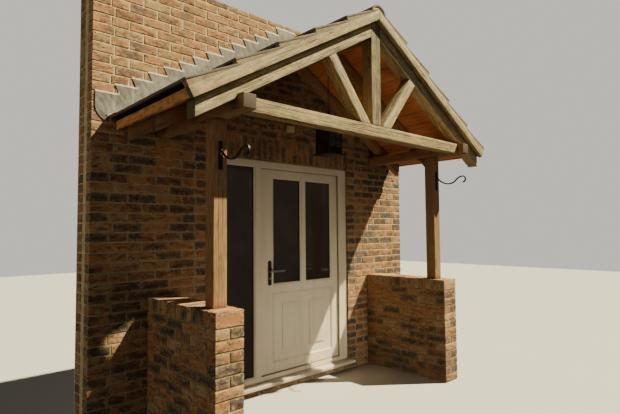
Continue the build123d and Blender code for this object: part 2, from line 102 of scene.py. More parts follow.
DIRT, IRON_DUST, NICK = (0.30, 0.25, 0.17), (0.20, 0.15, 0.10), (0.06, 0.045, 0.025)
FLOAT, VECTOR = "NodeSocketFloat", "NodeSocketVector"
BLOCKS, FINISHES = {}, {}


# Settings that a user would change


def size(label, default, about, low=0.0, high=1.0):
    return FloatProperty(
        name=label, description=about, default=default, min=low, max=high,
        subtype="DISTANCE", unit="LENGTH", precision=4,
    )


def amount(label, default, about, low=0.0, high=5.0):
    return FloatProperty(name=label, description=about, default=default, min=low, max=high)


def colour(label, default, about):
    return FloatVectorProperty(
        name=label, description=about, default=default, size=3, min=0.0, max=1.0, subtype="COLOR"
    )


class BrickworkSettings(bpy.types.PropertyGroup):
    """Sizes and colours of the brickwork."""

    length: size("Brick length", 0.215, "Length of a whole brick")
    height: size("Brick height", 0.065, "Height of a brick as laid")
    depth: size("Brick depth", 0.1025, "Depth of a brick into the wall")
    joint: size("Joint", 0.010, "Width of the mortar joints", 0.004, 0.02)
    recess: size("Joint recess", 0.0052, "How far the mortar lies behind the bricks", 0, 0.01)
    unevenness: size("Unevenness", 0.0021, "How far the faces are out of true", 0, 0.005)
    buff: colour("Buff", (0.43, 0.27, 0.120), "Palest bricks")
    tan: colour("Tan", (0.34, 0.175, 0.074), "Bricks between orange and buff")
    orange: colour("Orange", (0.40, 0.172, 0.064), "Common bricks")
    brown: colour("Brown", (0.175, 0.077, 0.044), "Darker bricks")
    blue: colour("Blue", (0.078, 0.054, 0.044), "Overburnt bricks")
    mortar: colour("Mortar", (0.76, 0.60, 0.31), "Warm sandy mortar")
    old_mortar: colour("Old mortar", (0.34, 0.245, 0.115), "Dirty mortar of the low walls")
    verge: colour("Verge mortar", (0.34, 0.25, 0.135), "Mortar under the tile edges")
    plaster: colour("Plaster", (0.72, 0.70, 0.65), "Room side of the wall")


class OakSettings(bpy.types.PropertyGroup):
    """Sizes and colours of the oak frame and its boards."""

    arris: size("Arris", 0.003, "Width of the worn arrises", 0.0005, 0.01)
    weathered: colour("Weathered", (0.43, 0.315, 0.140), "Oak that rain and sun have bleached")
    silver: colour("Silver", (0.42, 0.345, 0.200), "Old grey surface of the bleached oak")
    pale: colour("Pale", (0.52, 0.40, 0.205), "Oak of the struts, front rafters and bargeboards")
    bleached: colour("Bleached", (0.66, 0.565, 0.37), "Palest surface on the same pieces")
    drab: colour("Drab", (0.31, 0.24, 0.14), "Dull grey surface of the king post")
    sheltered: colour("Sheltered", (0.39, 0.210, 0.090), "Oak under the roof")
    boards: colour("Boards", (0.74, 0.245, 0.090), "Soffit boards")
    fascia: colour("Fascia", (0.80, 0.37, 0.115), "Fascia boards at the eaves")


class RoofSettings(bpy.types.PropertyGroup):
    """Sizes and colours of the tiles and the lead."""

    cover_width: size("Tile cover", 0.295, "Width of a tile that shows", 0.1, 0.5)
    thickness: size("Tile thickness", 0.018, "Thickness of a tile", 0.008, 0.04)
    lap: size("Lap", 0.034, "How far a tile goes under the one above", 0.0, 0.1)
    tile: colour("Tile", (0.175, 0.145, 0.110), "Weathered concrete tiles")
    lichen: colour("Lichen", (0.38, 0.37, 0.25), "Growth on the tiles")
    lead: colour("Lead", (0.20, 0.185, 0.155), "Weathered lead")


class DoorSettings(bpy.types.PropertyGroup):
    """Sizes and colours of the door set."""

    arris: size("Arris", 0.0022, "Rounding of the frame and leaf edges", 0.0005, 0.006)
    bead: size("Glazing bead", 0.016, "Width of the beads round panes and insert", 0.006, 0.03)
    gasket: size("Gasket", 0.003, "Width of the rubber lines round the panes", 0.001, 0.006)
    cream: colour("Cream", (0.78, 0.69, 0.49), "Frame and leaf")
    sill: colour("Sill", (0.78, 0.72, 0.56), "Door sill")
    # The dark tint is painted shade: it stands in for the unlit room behind the panes.
    glass: colour("Glass tint", (0.170, 0.120, 0.092), "What the panes let through")


class MetalSettings(bpy.types.PropertyGroup):
    """Sizes and colours of the ironwork and the door furniture."""

    link: size("Chain link", 0.030, "Length of a link of the lantern chain", 0.01, 0.06)
    wire: size("Chain wire", 0.0032, "Thickness of the lantern chain", 0.001, 0.006)
    iron: colour("Iron", (0.022, 0.021, 0.020), "Painted ironwork")
    bronze: colour("Bronze", (0.085, 0.070, 0.052), "Handle plates")
    silver: colour("Silver", (0.62, 0.61, 0.58), "Levers and lock")
    beige: colour("Beige", (0.62, 0.50, 0.26), "Small box on the wall")


class StageSettings(bpy.types.PropertyGroup):
    """Light, floor and camera."""

    lens: amount("Lens", 26.98, "Focal length in mm", 10, 100)
    sun: amount("Sun", 11.5, "Strength of the key light", 0, 20)
    sky: amount("Sky", 0.09, "Strength of the soft light all round")
    backdrop: amount("Backdrop", 0.72, "Brightness behind the porch")
    floor: colour("Floor", (0.60, 0.58, 0.54), "Plain pale floor")
    seed: IntProperty(name="Seed", description="Start of every random choice", default=11, min=0)


def settings(group):
    return getattr(bpy.context.scene, f"porch_{group}")


# Mesh helpers


def generator(extra):
    """Random numbers of a piece's own."""
    return np.random.default_rng(settings("stage").seed * 1000 + extra)


def rounded_block(half, arris, divisions):
    """Points and faces of a block round the origin, with rounded arrises and faces in a grid."""
    half = np.array(half, float)
    lines = [
        np.concatenate([[-reach], np.linspace(-reach + arris, reach - arris, count + 1), [reach]])
        for reach, count in zip(half, divisions)
    ]
    places, points, faces = {}, [], []

    def corner(key):
        if key not in places:
            point = np.array([line[at] for line, at in zip(lines, key)])
            core = np.clip(point, arris - half, half - arris)
            out = point - core
            length = np.linalg.norm(out)
            places[key] = len(points)
            points.append(core + out / length * arris if length > 0 else point)
        return places[key]

    for axis, (across, up) in enumerate(((1, 2), (2, 0), (0, 1))):
        for end in (0, len(lines[axis]) - 1):
            for m in range(len(lines[across]) - 1):
                for n in range(len(lines[up]) - 1):
                    loop = []
                    for step_m, step_n in ((0, 0), (1, 0), (1, 1), (0, 1)):
                        key = [0, 0, 0]
                        key[axis], key[across], key[up] = end, m + step_m, n + step_n
                        loop.append(corner(tuple(key)))
                    faces.append(loop if end else loop[::-1])
    return np.array(points), faces


def block_form(half, arris, divisions, centre=(0, 0, 0), turn=Matrix()):
    """A rounded block as a form of its own, turned after it is moved."""
    points, faces = rounded_block(half, arris, divisions)
    bm = bmesh.new()
    verts = [bm.verts.new(turn @ (Vector(point) + Vector(centre))) for point in points]
    for loop in faces:
        bm.faces.new([verts[i] for i in loop])
    return bm


def waves(points, rng, shortest, longest, count=5):
    """Smooth uneven heights from -1 to 1 at these points."""
    total = np.zeros(len(points))
    for _ in range(count):
        direction = rng.normal(size=3)
        direction /= np.linalg.norm(direction)
        length = rng.uniform(shortest, longest)
        total += np.sin(points @ direction * 2 * math.pi / length + rng.uniform(0, 6.3))
    return total / count


def store(mesh, name, kind, values):
    """Keeps a number for every point of the mesh, for the materials to read."""
    layer = mesh.attributes.new(name, kind, "POINT")
    key = "vector" if kind == "FLOAT_VECTOR" else "value"
    layer.data.foreach_set(key, np.asarray(values, np.float32).ravel())


class Heap:
    """Uneven blocks gathered into one mesh, with numbers kept for every point."""

    def __init__(self, rng, arris, unevenness):
        self.rng, self.arris, self.unevenness = rng, arris, unevenness
        self.points, self.faces, self.count = [], [], 0
        self.tone, self.rim, self.spot = [], [], []

    def lay(self, low, high, order, divisions, place=None, tone=None):
        """Adds one block between two corners, along these axes."""
        rng, arris = self.rng, self.arris
        low, high = np.array(low, float), np.array(high, float)
        half = (high - low) / 2
        key = (tuple(np.round(half, 5)), arris, divisions)
        if key not in BLOCKS:
            BLOCKS[key] = rounded_block(half, arris, divisions)
        points, faces = BLOCKS[key]
        out = np.where(np.abs(points) > half - arris * 0.8, np.sign(points), 0.0)
        edges = np.abs(out).sum(1)
        out /= np.maximum(np.linalg.norm(out, axis=1), 1e-9)[:, None]
        start = rng.uniform(-9, 9, 3)
        dent = self.unevenness * (0.5 + 0.5 * waves(points + start, rng, 0.03, 0.12))
        chip = np.where(edges > 1, rng.random(len(points)) ** 3 * self.unevenness * 2.2, 0)
        moved = points - out * (dent + chip)[:, None] + (low + high) / 2
        if place is not None:
            moved = moved @ np.array(place.to_3x3()).T + np.array(place.translation)
        inward = np.sort(half - np.abs(points), axis=1)[:, 1]
        self.faces.extend([[i + self.count for i in loop] for loop in faces])
        self.points.append(moved)
        self.tone.append(np.full(len(points), rng.random() if tone is None else tone))
        self.rim.append(np.clip(inward / RIM, 0, 1))
        self.spot.append(points[:, list(order)] + start)
        self.count += len(points)

    def mesh(self, name):
        made = bpy.data.meshes.new(name)
        made.from_pydata(np.concatenate(self.points).tolist(), [], self.faces)
        store(made, "tone", "FLOAT", np.concatenate(self.tone))
        store(made, "rim", "FLOAT", np.concatenate(self.rim))
        store(made, "spot", "FLOAT_VECTOR", np.concatenate(self.spot))
        return made


def baked(form, name):
    """One mesh from one form or from a list of them."""
    mesh = bpy.data.meshes.new(name)
    whole = form
    if isinstance(form, list):
        whole = bmesh.new()
        for part in form:
            part.to_mesh(mesh)
            part.free()
            whole.from_mesh(mesh)
    whole.to_mesh(mesh)
    whole.free()
    return mesh


def piece(name, form, body, finish, replaces=()):
    """Puts a finished form into the scene, riding on its body."""
    mesh = form.mesh(name) if isinstance(form, Heap) else baked(form, name)
    thing = bpy.data.objects.new(name, mesh)
    bpy.context.scene.collection.objects.link(thing)
    mesh.materials.append(material(finish))
    mesh.polygons.foreach_set("use_smooth", [True] * len(mesh.polygons))
    mesh.set_sharp_from_angle(angle=math.radians(35))
    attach(thing, body)
    if replaces:
        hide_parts(*replaces)
    return thing


def cut_at(bm, normal, distance):
    bmesh.ops.bisect_plane(
        bm, geom=bm.verts[:] + bm.edges[:] + bm.faces[:], dist=1e-6,
        plane_co=normal * distance, plane_no=normal,
    )


def cut_loops(bm, normal, step):
    """Cuts the whole mesh at even steps along a direction."""
    reach = [vert.co.dot(normal) for vert in bm.verts]
    low, high = min(reach), max(reach)
    count = max(1, round((high - low) / step))
    for index in range(1, count):
        cut_at(bm, normal, low + (high - low) * index / count)


def slab(outline, front, back, step):
    """A closed slab parallel to the wall face, from an outline of X and Z, with an even grid."""
    bm = bmesh.new()
    face = bm.faces.new([bm.verts.new((x, front, z)) for x, z in outline])
    for item in bmesh.ops.extrude_face_region(bm, geom=[face])["geom"]:
        if isinstance(item, bmesh.types.BMVert):
            item.co.y = back
    bmesh.ops.recalc_face_normals(bm, faces=bm.faces[:])
    cut_loops(bm, X_AXIS, step)
    cut_loops(bm, Z_AXIS, step)
    return bm


def skin(rows, capped=True):
    """A closed form over rows of points, with its ends capped or joined to each other."""
    bm = bmesh.new()
    rows = [[bm.verts.new(point) for point in row] for row in rows]
    for one, other in zip(rows, rows[1:] if capped else rows[1:] + rows[:1]):
        for i in range(len(one)):
            j = (i + 1) % len(one)
            bm.faces.new((one[i], one[j], other[j], other[i]))
    if capped:
        bm.faces.new(rows[0])
        bm.faces.new(rows[-1][::-1])
    bmesh.ops.recalc_face_normals(bm, faces=bm.faces[:])
    return bm


def clean_copies(node):
    """The separate solids of a CAD node from left to right, each with whole flat faces again."""
    whole = bmesh.new()
    whole.from_mesh(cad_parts[node].data)
    bmesh.ops.remove_doubles(whole, verts=whole.verts, dist=1e-5)
    flatten(whole)
    whole.verts.index_update()
    left, copies = set(whole.verts), []
    while left:
        island, stack = set(), [next(iter(left))]
        while stack:
            vert = stack.pop()
            if vert not in island:
                island.add(vert)
                stack.extend(edge.other_vert(vert) for edge in vert.link_edges)
        left -= island
        kept = {vert.index for vert in island}
        part = whole.copy()
        away = [vert for vert in part.verts if vert.index not in kept]
        bmesh.ops.delete(part, geom=away, context="VERTS")
        copies.append(part)
    whole.free()
    return sorted(copies, key=lambda part: sum(vert.co.x for vert in part.verts) / len(part.verts))


def flatten(bm):
    """Joins the facets of flat faces."""
    bmesh.ops.dissolve_limit(bm, angle_limit=math.radians(0.6), verts=bm.verts, edges=bm.edges)


def soften(bm, arris, segments=2, least=25):
    """Rounds every edge sharper than the least angle."""
    sharp = [
        edge for edge in bm.edges
        if len(edge.link_faces) == 2 and edge.calc_face_angle(0) > math.radians(least)
    ]
    bmesh.ops.bevel(
        bm, geom=sharp, offset=arris, offset_type="OFFSET", segments=segments, profile=0.5,
        affect="EDGES", clamp_overlap=True,
    )


def mitred_frame(left, right, low, high, face, outward, profile):
    """A mitred frame round a rectangle. profile is (inset, height) of its closed section."""
    return skin([[
        (left + inset, face - outward * height, low + inset),
        (right - inset, face - outward * height, low + inset),
        (right - inset, face - outward * height, high - inset),
        (left + inset, face - outward * height, high - inset),
    ] for inset, height in profile], capped=False)


def turned(profile, centre, axis=Z_AXIS, count=20):
    """A solid of revolution. profile is (distance along the axis, radius), closed at both ends."""
    side = axis.orthogonal().normalized()
    other = axis.cross(side)
    angles = [2 * math.pi * step / count for step in range(count)]
    spokes = [side * math.cos(angle) + other * math.sin(angle) for angle in angles]
    return skin([
        [Vector(centre) + axis * along + spoke * radius for spoke in spokes]
        for along, radius in profile
    ])


def chain_link(centre, across, length, width, wire):
    """An oval chain link that stands upright."""
    through = Z_AXIS.cross(across)
    straight = length / 2 - width / 2
    rows = []
    for step in range(20):
        angle = 2 * math.pi * step / 20
        reach = straight if math.sin(angle) > 0 else -straight
        core = across * math.cos(angle) * width / 2
        core += Z_AXIS * (math.sin(angle) * width / 2 + reach)
        out = across * math.cos(angle) + Z_AXIS * math.sin(angle)
        rows.append([
            Vector(centre) + core + (out * math.cos(b) + through * math.sin(b)) * wire / 2
            for b in (math.pi / 3 * k for k in range(6))
        ])
    return skin(rows, capped=False)


# Material helpers


class Field:
    """A value that varies over a surface, for sums in plain arithmetic."""

    def __init__(self, nodes, socket):
        self.nodes, self.socket = nodes, socket

    def __add__(self, other):
        return self.nodes.maths("ADD", self, other)

    def __sub__(self, other):
        return self.nodes.maths("SUBTRACT", self, other)

    def __rsub__(self, other):
        return self.nodes.maths("SUBTRACT", other, self)

    def __mul__(self, other):
        return self.nodes.maths("MULTIPLY", self, other)

    def span(self, low, high, to_low=0.0, to_high=1.0):
        """Maps a stretch of values to another, held at its ends."""
        return self.nodes.field(
            "ShaderNodeMapRange", {0: self, 1: low, 2: high, 3: to_low, 4: to_high},
            interpolation_type="SMOOTHSTEP",
        )


class Nodes:
    """A node tree in the making."""

    def __init__(self, tree):
        self.tree = tree

    def fill(self, node, inputs):
        """Links or sets a node's inputs by name or number."""
        for key, value in inputs.items():
            if isinstance(value, Field):
                self.tree.links.new(value.socket, node.inputs[key])
            else:
                node.inputs[key].default_value = value

    def put(self, kind, inputs=None, **choices):
        """Adds a node, sets it and fills its inputs."""
        node = self.tree.nodes.new(kind)
        for key, value in choices.items():
            setattr(node, key, value)
        self.fill(node, inputs or {})
        return node

    def field(self, kind, inputs=None, output=0, **choices):
        """One output of a new node."""
        return Field(self, self.put(kind, inputs, **choices).outputs[output])

    def fields(self, kind, inputs, **choices):
        """All outputs of a new node by name."""
        node = self.put(kind, inputs, **choices)
        return {socket.name: Field(self, socket) for socket in node.outputs}

    def maths(self, operation, *values, clamp=False):
        return self.field(
            "ShaderNodeMath", dict(enumerate(values)), operation=operation, use_clamp=clamp
        )

    def blend(self, amount, under, over):
        """Lays one colour over another."""
        inputs = {0: amount}
        for key, value in ((6, under), (7, over)):
            inputs[key] = value if isinstance(value, Field) else (*value, 1.0)
        return self.field("ShaderNodeMix", inputs, 2, data_type="RGBA")

    def speckle(self, where, scale, detail=4.0, rough=0.6, stretch=(1, 1, 1)):
        """Noise at these coordinates, stretched."""
        moved = self.field("ShaderNodeMapping", {0: where, 3: stretch})
        inputs = {"Vector": moved, "Scale": scale, "Detail": detail, "Roughness": rough}
        return self.field("ShaderNodeTexNoise", inputs)

    def ramp(self, value, stops):
        """A colour ramp."""
        node = self.put("ShaderNodeValToRGB", {0: value})
        elements = node.color_ramp.elements
        while len(elements) < len(stops):
            elements.new(0.5)
        for element, (place, shade) in zip(elements, stops):
            element.position, element.color = place, (*shade, 1.0)
        return Field(self, node.outputs[0])

    def attribute(self, name, output=2):
        return self.field("ShaderNodeAttribute", None, output, attribute_name=name)

    def use(self, group_name, inputs):
        """An effect with values of its own."""
        return self.fields("ShaderNodeGroup", inputs, node_tree=bpy.data.node_groups[group_name])


class Effect(Nodes):
    """A shader node group with named sockets."""

    def __init__(self, name, inputs, outputs):
        super().__init__(bpy.data.node_groups.new(name, "ShaderNodeTree"))
        sockets = self.tree.interface
        for label, kind, default in inputs:
            socket = sockets.new_socket(label, in_out="INPUT", socket_type=kind)
            if default is not None:
                socket.default_value = default
        for label in outputs:
            sockets.new_socket(label, in_out="OUTPUT", socket_type=FLOAT)
        source = self.put("NodeGroupInput")
        self.given = {label: Field(self, source.outputs[label]) for label, *_ in inputs}
        self.sink = self.put("NodeGroupOutput")


class Finish(Nodes):
    """A material in the making, with the base colour laid so far."""

    def __init__(self, name):
        self.material = bpy.data.materials.new(name)
        self.material.use_nodes = True
        super().__init__(self.material.node_tree)
        self.shader = next(node for node in self.tree.nodes if node.type == "BSDF_PRINCIPLED")
        self.where = self.field("ShaderNodeTexCoord", None, "Object")
        self.base = None

    def weather(self, scale=1.0):
        return self.use("Weathering", {"Position": self.where, "Scale": scale})

    def lay(self, mask, amount, shade):
        """Lays a colour over the base where the mask says, up to this amount."""
        self.base = self.blend(mask * amount, self.base, shade)

    def done(self, rough, height, strength, distance):
        """Links what varies over the surface to the shader."""
        relief = {"Strength": strength, "Distance": distance, "Height": height}
        bump = self.field("ShaderNodeBump", relief)
        self.fill(self.shader, {"Base Color": self.base, "Roughness": rough, "Normal": bump})
        return self.material


def toned(shade, factor):
    """A darker or paler version of a colour."""
    return [min(1.0, c * factor) for c in shade]


def make_grain_effect():
    """Fibres, growth rings and drying checks that run along the first coordinate."""
    oak = Effect(
        "Oak grain",
        (("Position", VECTOR, None), ("Ring width", FLOAT, 0.006), ("Checks", FLOAT, 0.5)),
        ("Fibre", "Rings", "Checks", "Height"),
    )
    where = oak.given["Position"]
    fibre = oak.speckle(where, 1.0, 6.0, 0.65, (3.0, 170.0, 170.0))
    broad = oak.speckle(where, 1.0, 3.0, 0.5, (1.6, 14.0, 14.0))
    place = oak.fields("ShaderNodeSeparateXYZ", {0: where})
    across = place["Y"] + 0.03 + (broad - 0.5) * 0.05
    squares = [
        oak.maths("POWER", oak.maths("ABSOLUTE", off), 2.0) for off in (across, place["Z"] + 0.045)
    ]
    radius = oak.maths("SQRT", squares[0] + squares[1])
    phase = oak.maths("DIVIDE", radius, oak.given["Ring width"])
    rings = oak.maths("FRACT", phase).span(0.0, 1.0)
    line = oak.speckle(where, 1.0, 3.0, 0.55, (2.2, 60.0, 60.0))
    narrow = oak.maths("MAXIMUM", oak.given["Checks"] * 0.022, 0.0001)
    edge = oak.maths("DIVIDE", oak.maths("ABSOLUTE", line - 0.5), narrow)
    patch = oak.speckle(where, 1.0, 2.0, 0.5, (0.9, 9.0, 9.0)).span(0.42, 0.62)
    check = oak.maths("MULTIPLY", oak.maths("SUBTRACT", 1.0, edge, clamp=True), patch, clamp=True)
    height = fibre * 0.55 + rings * 0.22 - check * 0.9
    oak.fill(oak.sink, {"Fibre": fibre, "Rings": rings, "Checks": check, "Height": height})


def make_weather_effect():
    """Rain streaks, blotches and the dirt that settles low down."""
    worn = Effect(
        "Weathering", (("Position", VECTOR, None), ("Scale", FLOAT, 1.0)),
        ("Streaks", "Blotches", "Grit", "Low"),
    )
    place, scale = worn.given["Position"], worn.given["Scale"]
    where = worn.field("ShaderNodeVectorMath", {0: place, 3: scale}, operation="SCALE")
    worn.fill(worn.sink, {
        "Streaks": worn.speckle(where, 1.0, 5.0, 0.6, (26.0, 26.0, 1.3)),
        "Blotches": worn.speckle(where, 3.1, 5.0, 0.62),
        "Grit": worn.speckle(where, 260.0, 3.0, 0.7),
        "Low": worn.fields("ShaderNodeSeparateXYZ", {0: place})["Z"].span(0.0, 0.42, 1.0, 0.0),
    })


def make_corner_effect():
    """Painted shade where surfaces meet, from how hemmed in each point is."""
    corner = Effect("Corner dirt", (("Distance", FLOAT, 0.02),), ("Mask",))
    near = corner.field("ShaderNodeAmbientOcclusion", corner.given, "AO", samples=8)
    corner.fill(corner.sink, {"Mask": near.span(0.45, 0.95, 1.0, 0.0)})


def brick_material(kit):
    """Stock bricks, each of its own tone, with creases, mortar smears and speckles."""
    brick = Finish("porch brick")
    tone, rim, spot = (
        brick.attribute("tone"), brick.attribute("rim"), brick.attribute("spot", 1)
    )
    weather = brick.weather()
    body = brick.speckle(spot, 7.0, 4.0, 0.55)
    brick.base = brick.ramp(tone + (body - 0.5) * 1.15, (
        (0.00, kit.blue), (0.16, kit.brown), (0.36, kit.orange),
        (0.50, kit.orange), (0.64, kit.tan), (0.92, kit.buff),
    ))
    flow = brick.speckle(spot, 1.0, 5.0, 0.68, (7.0, 30.0, 24.0))
    folded = brick.speckle(spot, 1.0, 2.0, 0.5, (9.0, 16.0, 16.0)).span(0.44, 0.56)
    creased = brick.maths("ABSOLUTE", flow - 0.5).span(0.030, 0.006) * folded
    # Dark colour in the creases stands in for the shade in their folds: painted shade.
    brick.lay(creased, 0.70, kit.blue)
    for scale, detail, rough, stretch, low, high, amount, shade in (
        (1.0, 4.0, 0.65, (16.0, 34.0, 34.0), 0.55, 0.72, 0.45, kit.buff),
        (1.0, 4.0, 0.65, (13.0, 26.0, 26.0), 0.58, 0.70, 0.50, kit.brown),
        (420.0, 2.0, 0.6, (1, 1, 1), 0.60, 0.70, 0.35, kit.brown),
    ):
        marks = brick.speckle(spot, scale, detail, rough, stretch)
        brick.lay(marks.span(low, high), amount, shade)
    smears = brick.speckle(spot, 48.0, 4.0, 0.6).span(0.38, 0.62)
    brick.lay((1.0 - rim) * smears, 0.40, kit.mortar)
    brick.lay(weather["Blotches"].span(0.50, 0.72), 0.22, (0.16, 0.12, 0.09))
    brick.lay(weather["Low"], 0.28, (0.13, 0.11, 0.08))
    height = body * 0.5 + brick.speckle(spot, 130.0, 4.0, 0.7) * 0.35 - creased * 0.55
    return brick.done(body.span(0.3, 0.7, 0.78, 0.94), height, 1.0, 0.007)


def mortar_material(name, shade):
    """Sandy mortar, struck a little back."""
    mortar = Finish(name)
    sand = mortar.speckle(mortar.where, 480.0, 3.0, 0.7)
    cloud = mortar.speckle(mortar.where, 17.0, 4.0, 0.6)
    mortar.base = mortar.blend(cloud.span(0.35, 0.7), shade, toned(shade, 0.62))
    mortar.lay(sand.span(0.55, 0.7), 0.3, toned(shade, 1.45))
    mortar.lay(mortar.weather()["Low"], 0.4, (0.14, 0.12, 0.08))
    # Painted shade where the wall lies in shadow, as the wall's attribute says.
    mortar.lay(mortar.attribute("sooted"), 0.70, (0.11, 0.075, 0.045))
    return mortar.done(0.94, sand * 0.5 + cloud * 0.7, 0.8, 0.003)


def plaster_material(kit):
    """Trowelled plaster on the room side."""
    plaster = Finish("porch plaster")
    trowel = plaster.speckle(plaster.where, 5.0, 3.0, 0.5, (1.0, 1.0, 2.4))
    fine = plaster.speckle(plaster.where, 90.0, 4.0, 0.6)
    plaster.base = plaster.blend(trowel.span(0.35, 0.7), kit.plaster, toned(kit.plaster, 0.9))
    return plaster.done(0.82, trowel * 0.8 + fine * 0.15, 0.35, 0.003)


def oak_material(name, clean, grey, bleach, checks, ring=0.006, stained=0.35):
    """Sawn oak. bleach is how grey it has gone, stained how dark its wet marks are."""
    oak = Finish(name)
    grain, weather = oak.attribute("grain", 1), oak.weather()
    wood = oak.use("Oak grain", {"Position": grain, "Ring width": ring, "Checks": checks})
    greying = min(1.0, bleach * 1.6)

    def marks(detail, rough, stretch, low, high):
        return oak.speckle(grain, 1.0, detail, rough, stretch).span(low, high)

    oak.base = oak.blend(wood["Fibre"].span(0.30, 0.68), toned(clean, 0.52), clean)
    oak.lay(wood["Rings"], 0.30, toned(clean, 1.25))
    age = weather["Blotches"] + weather["Streaks"] * 0.5
    aged = age.span(1.06 - bleach * 0.55, 1.42 - bleach * 0.55)
    normal = oak.field("ShaderNodeTexCoord", None, "Normal")
    facing = oak.fields("ShaderNodeSeparateXYZ", {0: normal})
    outward = oak.maths("MAXIMUM", facing["Y"] * -1.0, facing["Z"])
    open_side = outward.span(0.1, 0.7, 1.0 - 0.75 * greying, 1.0)
    inner = [c * d for c, d in zip(clean, (1.05, 0.86, 0.74))]
    oak.lay(1.0 - open_side, 1.0, inner)
    silvered = oak.blend(wood["Fibre"].span(0.34, 0.66), toned(grey, 0.55), grey)
    oak.lay(aged * open_side, greying, silvered)
    mottle = oak.speckle(grain, 1.0, 5.0, 0.7, (13.0, 52.0, 52.0))
    blotched = min(0.95, 0.30 + 0.50 * bleach + 0.8 * (stained - 0.35))
    oak.lay(mottle.span(0.50, 0.62), blotched, toned(clean, 0.36))
    oak.lay(mottle.span(0.48, 0.34) * open_side, 0.60 * bleach, toned(grey, 1.45))
    oak.lay(marks(4.0, 0.65, (4.0, 13.0, 13.0), 0.46, 0.66), 0.62 * bleach, toned(clean, 0.50))
    oak.lay(marks(3.0, 0.6, (34.0, 150.0, 150.0), 0.62, 0.70), 0.75 * bleach, NICK)
    oak.lay(marks(4.0, 0.6, (5.0, 26.0, 26.0), 0.52, 0.70), stained, (0.085, 0.060, 0.034))
    growth = oak.speckle(oak.where, 11.0, 5.0, 0.7).span(0.47, 0.64) * open_side
    oak.lay(growth, 0.92 * bleach, (0.37, 0.335, 0.095))
    raw = marks(4.0, 0.6, (6.0, 22.0, 22.0), 0.52, 0.66) * open_side
    oak.lay(raw, 0.80 * bleach, [c * d for c, d in zip(clean, (1.35, 1.05, 1.25))])
    rays = marks(2.0, 0.5, (260.0, 90.0, 90.0), 0.5, 0.8)
    closed = oak.blend(rays * 0.5, toned(grey, 0.12), toned(grey, 0.05))
    oak.lay(oak.attribute("end_grain"), 0.85, closed)
    # Painted shade where timbers meet and in hollows.
    oak.lay(oak.use("Corner dirt", {"Distance": 0.035})["Mask"], 0.55, (0.075, 0.052, 0.028))
    # Near black in the cracks and checks: painted shade inside them.
    gap = oak.maths("MAXIMUM", wood["Checks"] * 0.8, oak.attribute("crack"))
    oak.lay(gap, 1.0, (0.025, 0.018, 0.010))
    return oak.done(wood["Fibre"].span(0.25, 0.75, 0.86, 0.66), wood["Height"], 0.7, 0.0022)


def tile_material(kit):
    """Weathered concrete tiles with lichen and gritty faces."""
    tile = Finish("porch tile")
    tone, spot = tile.attribute("tone"), tile.attribute("spot", 1)
    weather = tile.weather()
    grit = weather["Grit"]
    cloud = tile.speckle(spot, 8.0, 5.0, 0.6)
    tile.base = tile.blend(tone * 0.4 + cloud * 0.5, toned(kit.tile, 0.7), toned(kit.tile, 1.5))
    tile.lay(tile.speckle(tile.where, 34.0, 5.0, 0.7).span(0.57, 0.66), 0.6, kit.lichen)
    tile.lay(weather["Blotches"].span(0.5, 0.7), 0.4, (0.06, 0.065, 0.045))
    tile.lay(grit.span(0.55, 0.7), 0.25, (0.34, 0.30, 0.24))
    return tile.done(0.9, grit * 0.4 + cloud * 0.5, 0.7, 0.003)


def lead_material(kit):
    """Dressed lead with run marks, a dull bloom and a painted highlight along its top edges."""
    lead = Finish("porch lead")
    weather = lead.weather(1.6)
    dressed = lead.field(
        "ShaderNodeVectorRotate", {0: lead.where, 3: math.radians(32)}, rotation_type="Y_AXIS"
    )
    rubbed = lead.speckle(dressed, 1.0, 5.0, 0.65, (42.0, 12.0, 6.0))
    lead.base = lead.blend(rubbed.span(0.36, 0.62), toned(kit.lead, 0.50), kit.lead)
    lead.lay(weather["Blotches"].span(0.48, 0.66), 0.7, toned(kit.lead, 1.6))
    spots = lead.speckle(lead.where, 21.0, 5.0, 0.7).span(0.54, 0.68)
    lead.lay(spots, 0.55, toned(kit.lead, 0.42))
    # Painted highlight along the top edges.
    lead.lay(lead.attribute("rim"), 0.85, (0.74, 0.72, 0.66))
    lead.shader.inputs["Metallic"].default_value = 0.25
    height = weather["Streaks"] * 0.8 + lead.speckle(lead.where, 30.0)
    return lead.done(weather["Blotches"].span(0.3, 0.7, 0.5, 0.72), height, 0.5, 0.004)


def plastic_material(name, shade, rough=0.34, dirt=0.16):
    """Moulded plastic with a little dust and dirt, darker low down, with painted shade where
    surfaces meet.
    """
    plastic = Finish(name)
    weather = plastic.weather()
    plastic.base = plastic.blend(weather["Blotches"].span(0.35, 0.75), shade, toned(shade, 0.93))
    plastic.lay(weather["Streaks"].span(0.52, 0.72), dirt, DIRT)
    plastic.lay(weather["Low"], dirt * 1.2, DIRT)
    # Painted shade in the corners and round the mouldings.
    corner = plastic.use("Corner dirt", {"Distance": 0.018})["Mask"]
    plastic.lay(corner, 0.82, (0.15, 0.118, 0.075))
    gloss = weather["Blotches"].span(0.3, 0.75, rough, rough + 0.16)
    return plastic.done(gloss, weather["Grit"] * 0.1 + weather["Blotches"], 0.12, 0.001)


def rubber_material():
    """Black gasket rubber."""
    rubber = Finish("porch rubber")
    weather = rubber.weather()
    dusty = weather["Streaks"].span(0.4, 0.7)
    rubber.base = rubber.blend(dusty, (0.014, 0.014, 0.014), (0.05, 0.048, 0.044))
    return rubber.done(0.62, weather["Grit"], 0.2, 0.0005)


def glass_material(name, tint, rough=0.03):
    """Sealed panes with a faint film of dust."""
    glass = Finish(name)
    weather = glass.weather()
    glass.base = glass.blend(weather["Blotches"].span(0.4, 0.8), tint, toned(tint, 1.5))
    glass.shader.inputs["Transmission Weight"].default_value = 1.0
    glass.shader.inputs["Metallic"].default_value = 0.0
    glass.shader.inputs["IOR"].default_value = 1.5
    gloss = weather["Streaks"].span(0.4, 0.8, rough, rough + 0.05)
    return glass.done(gloss, weather["Blotches"], 0.03, 0.002)


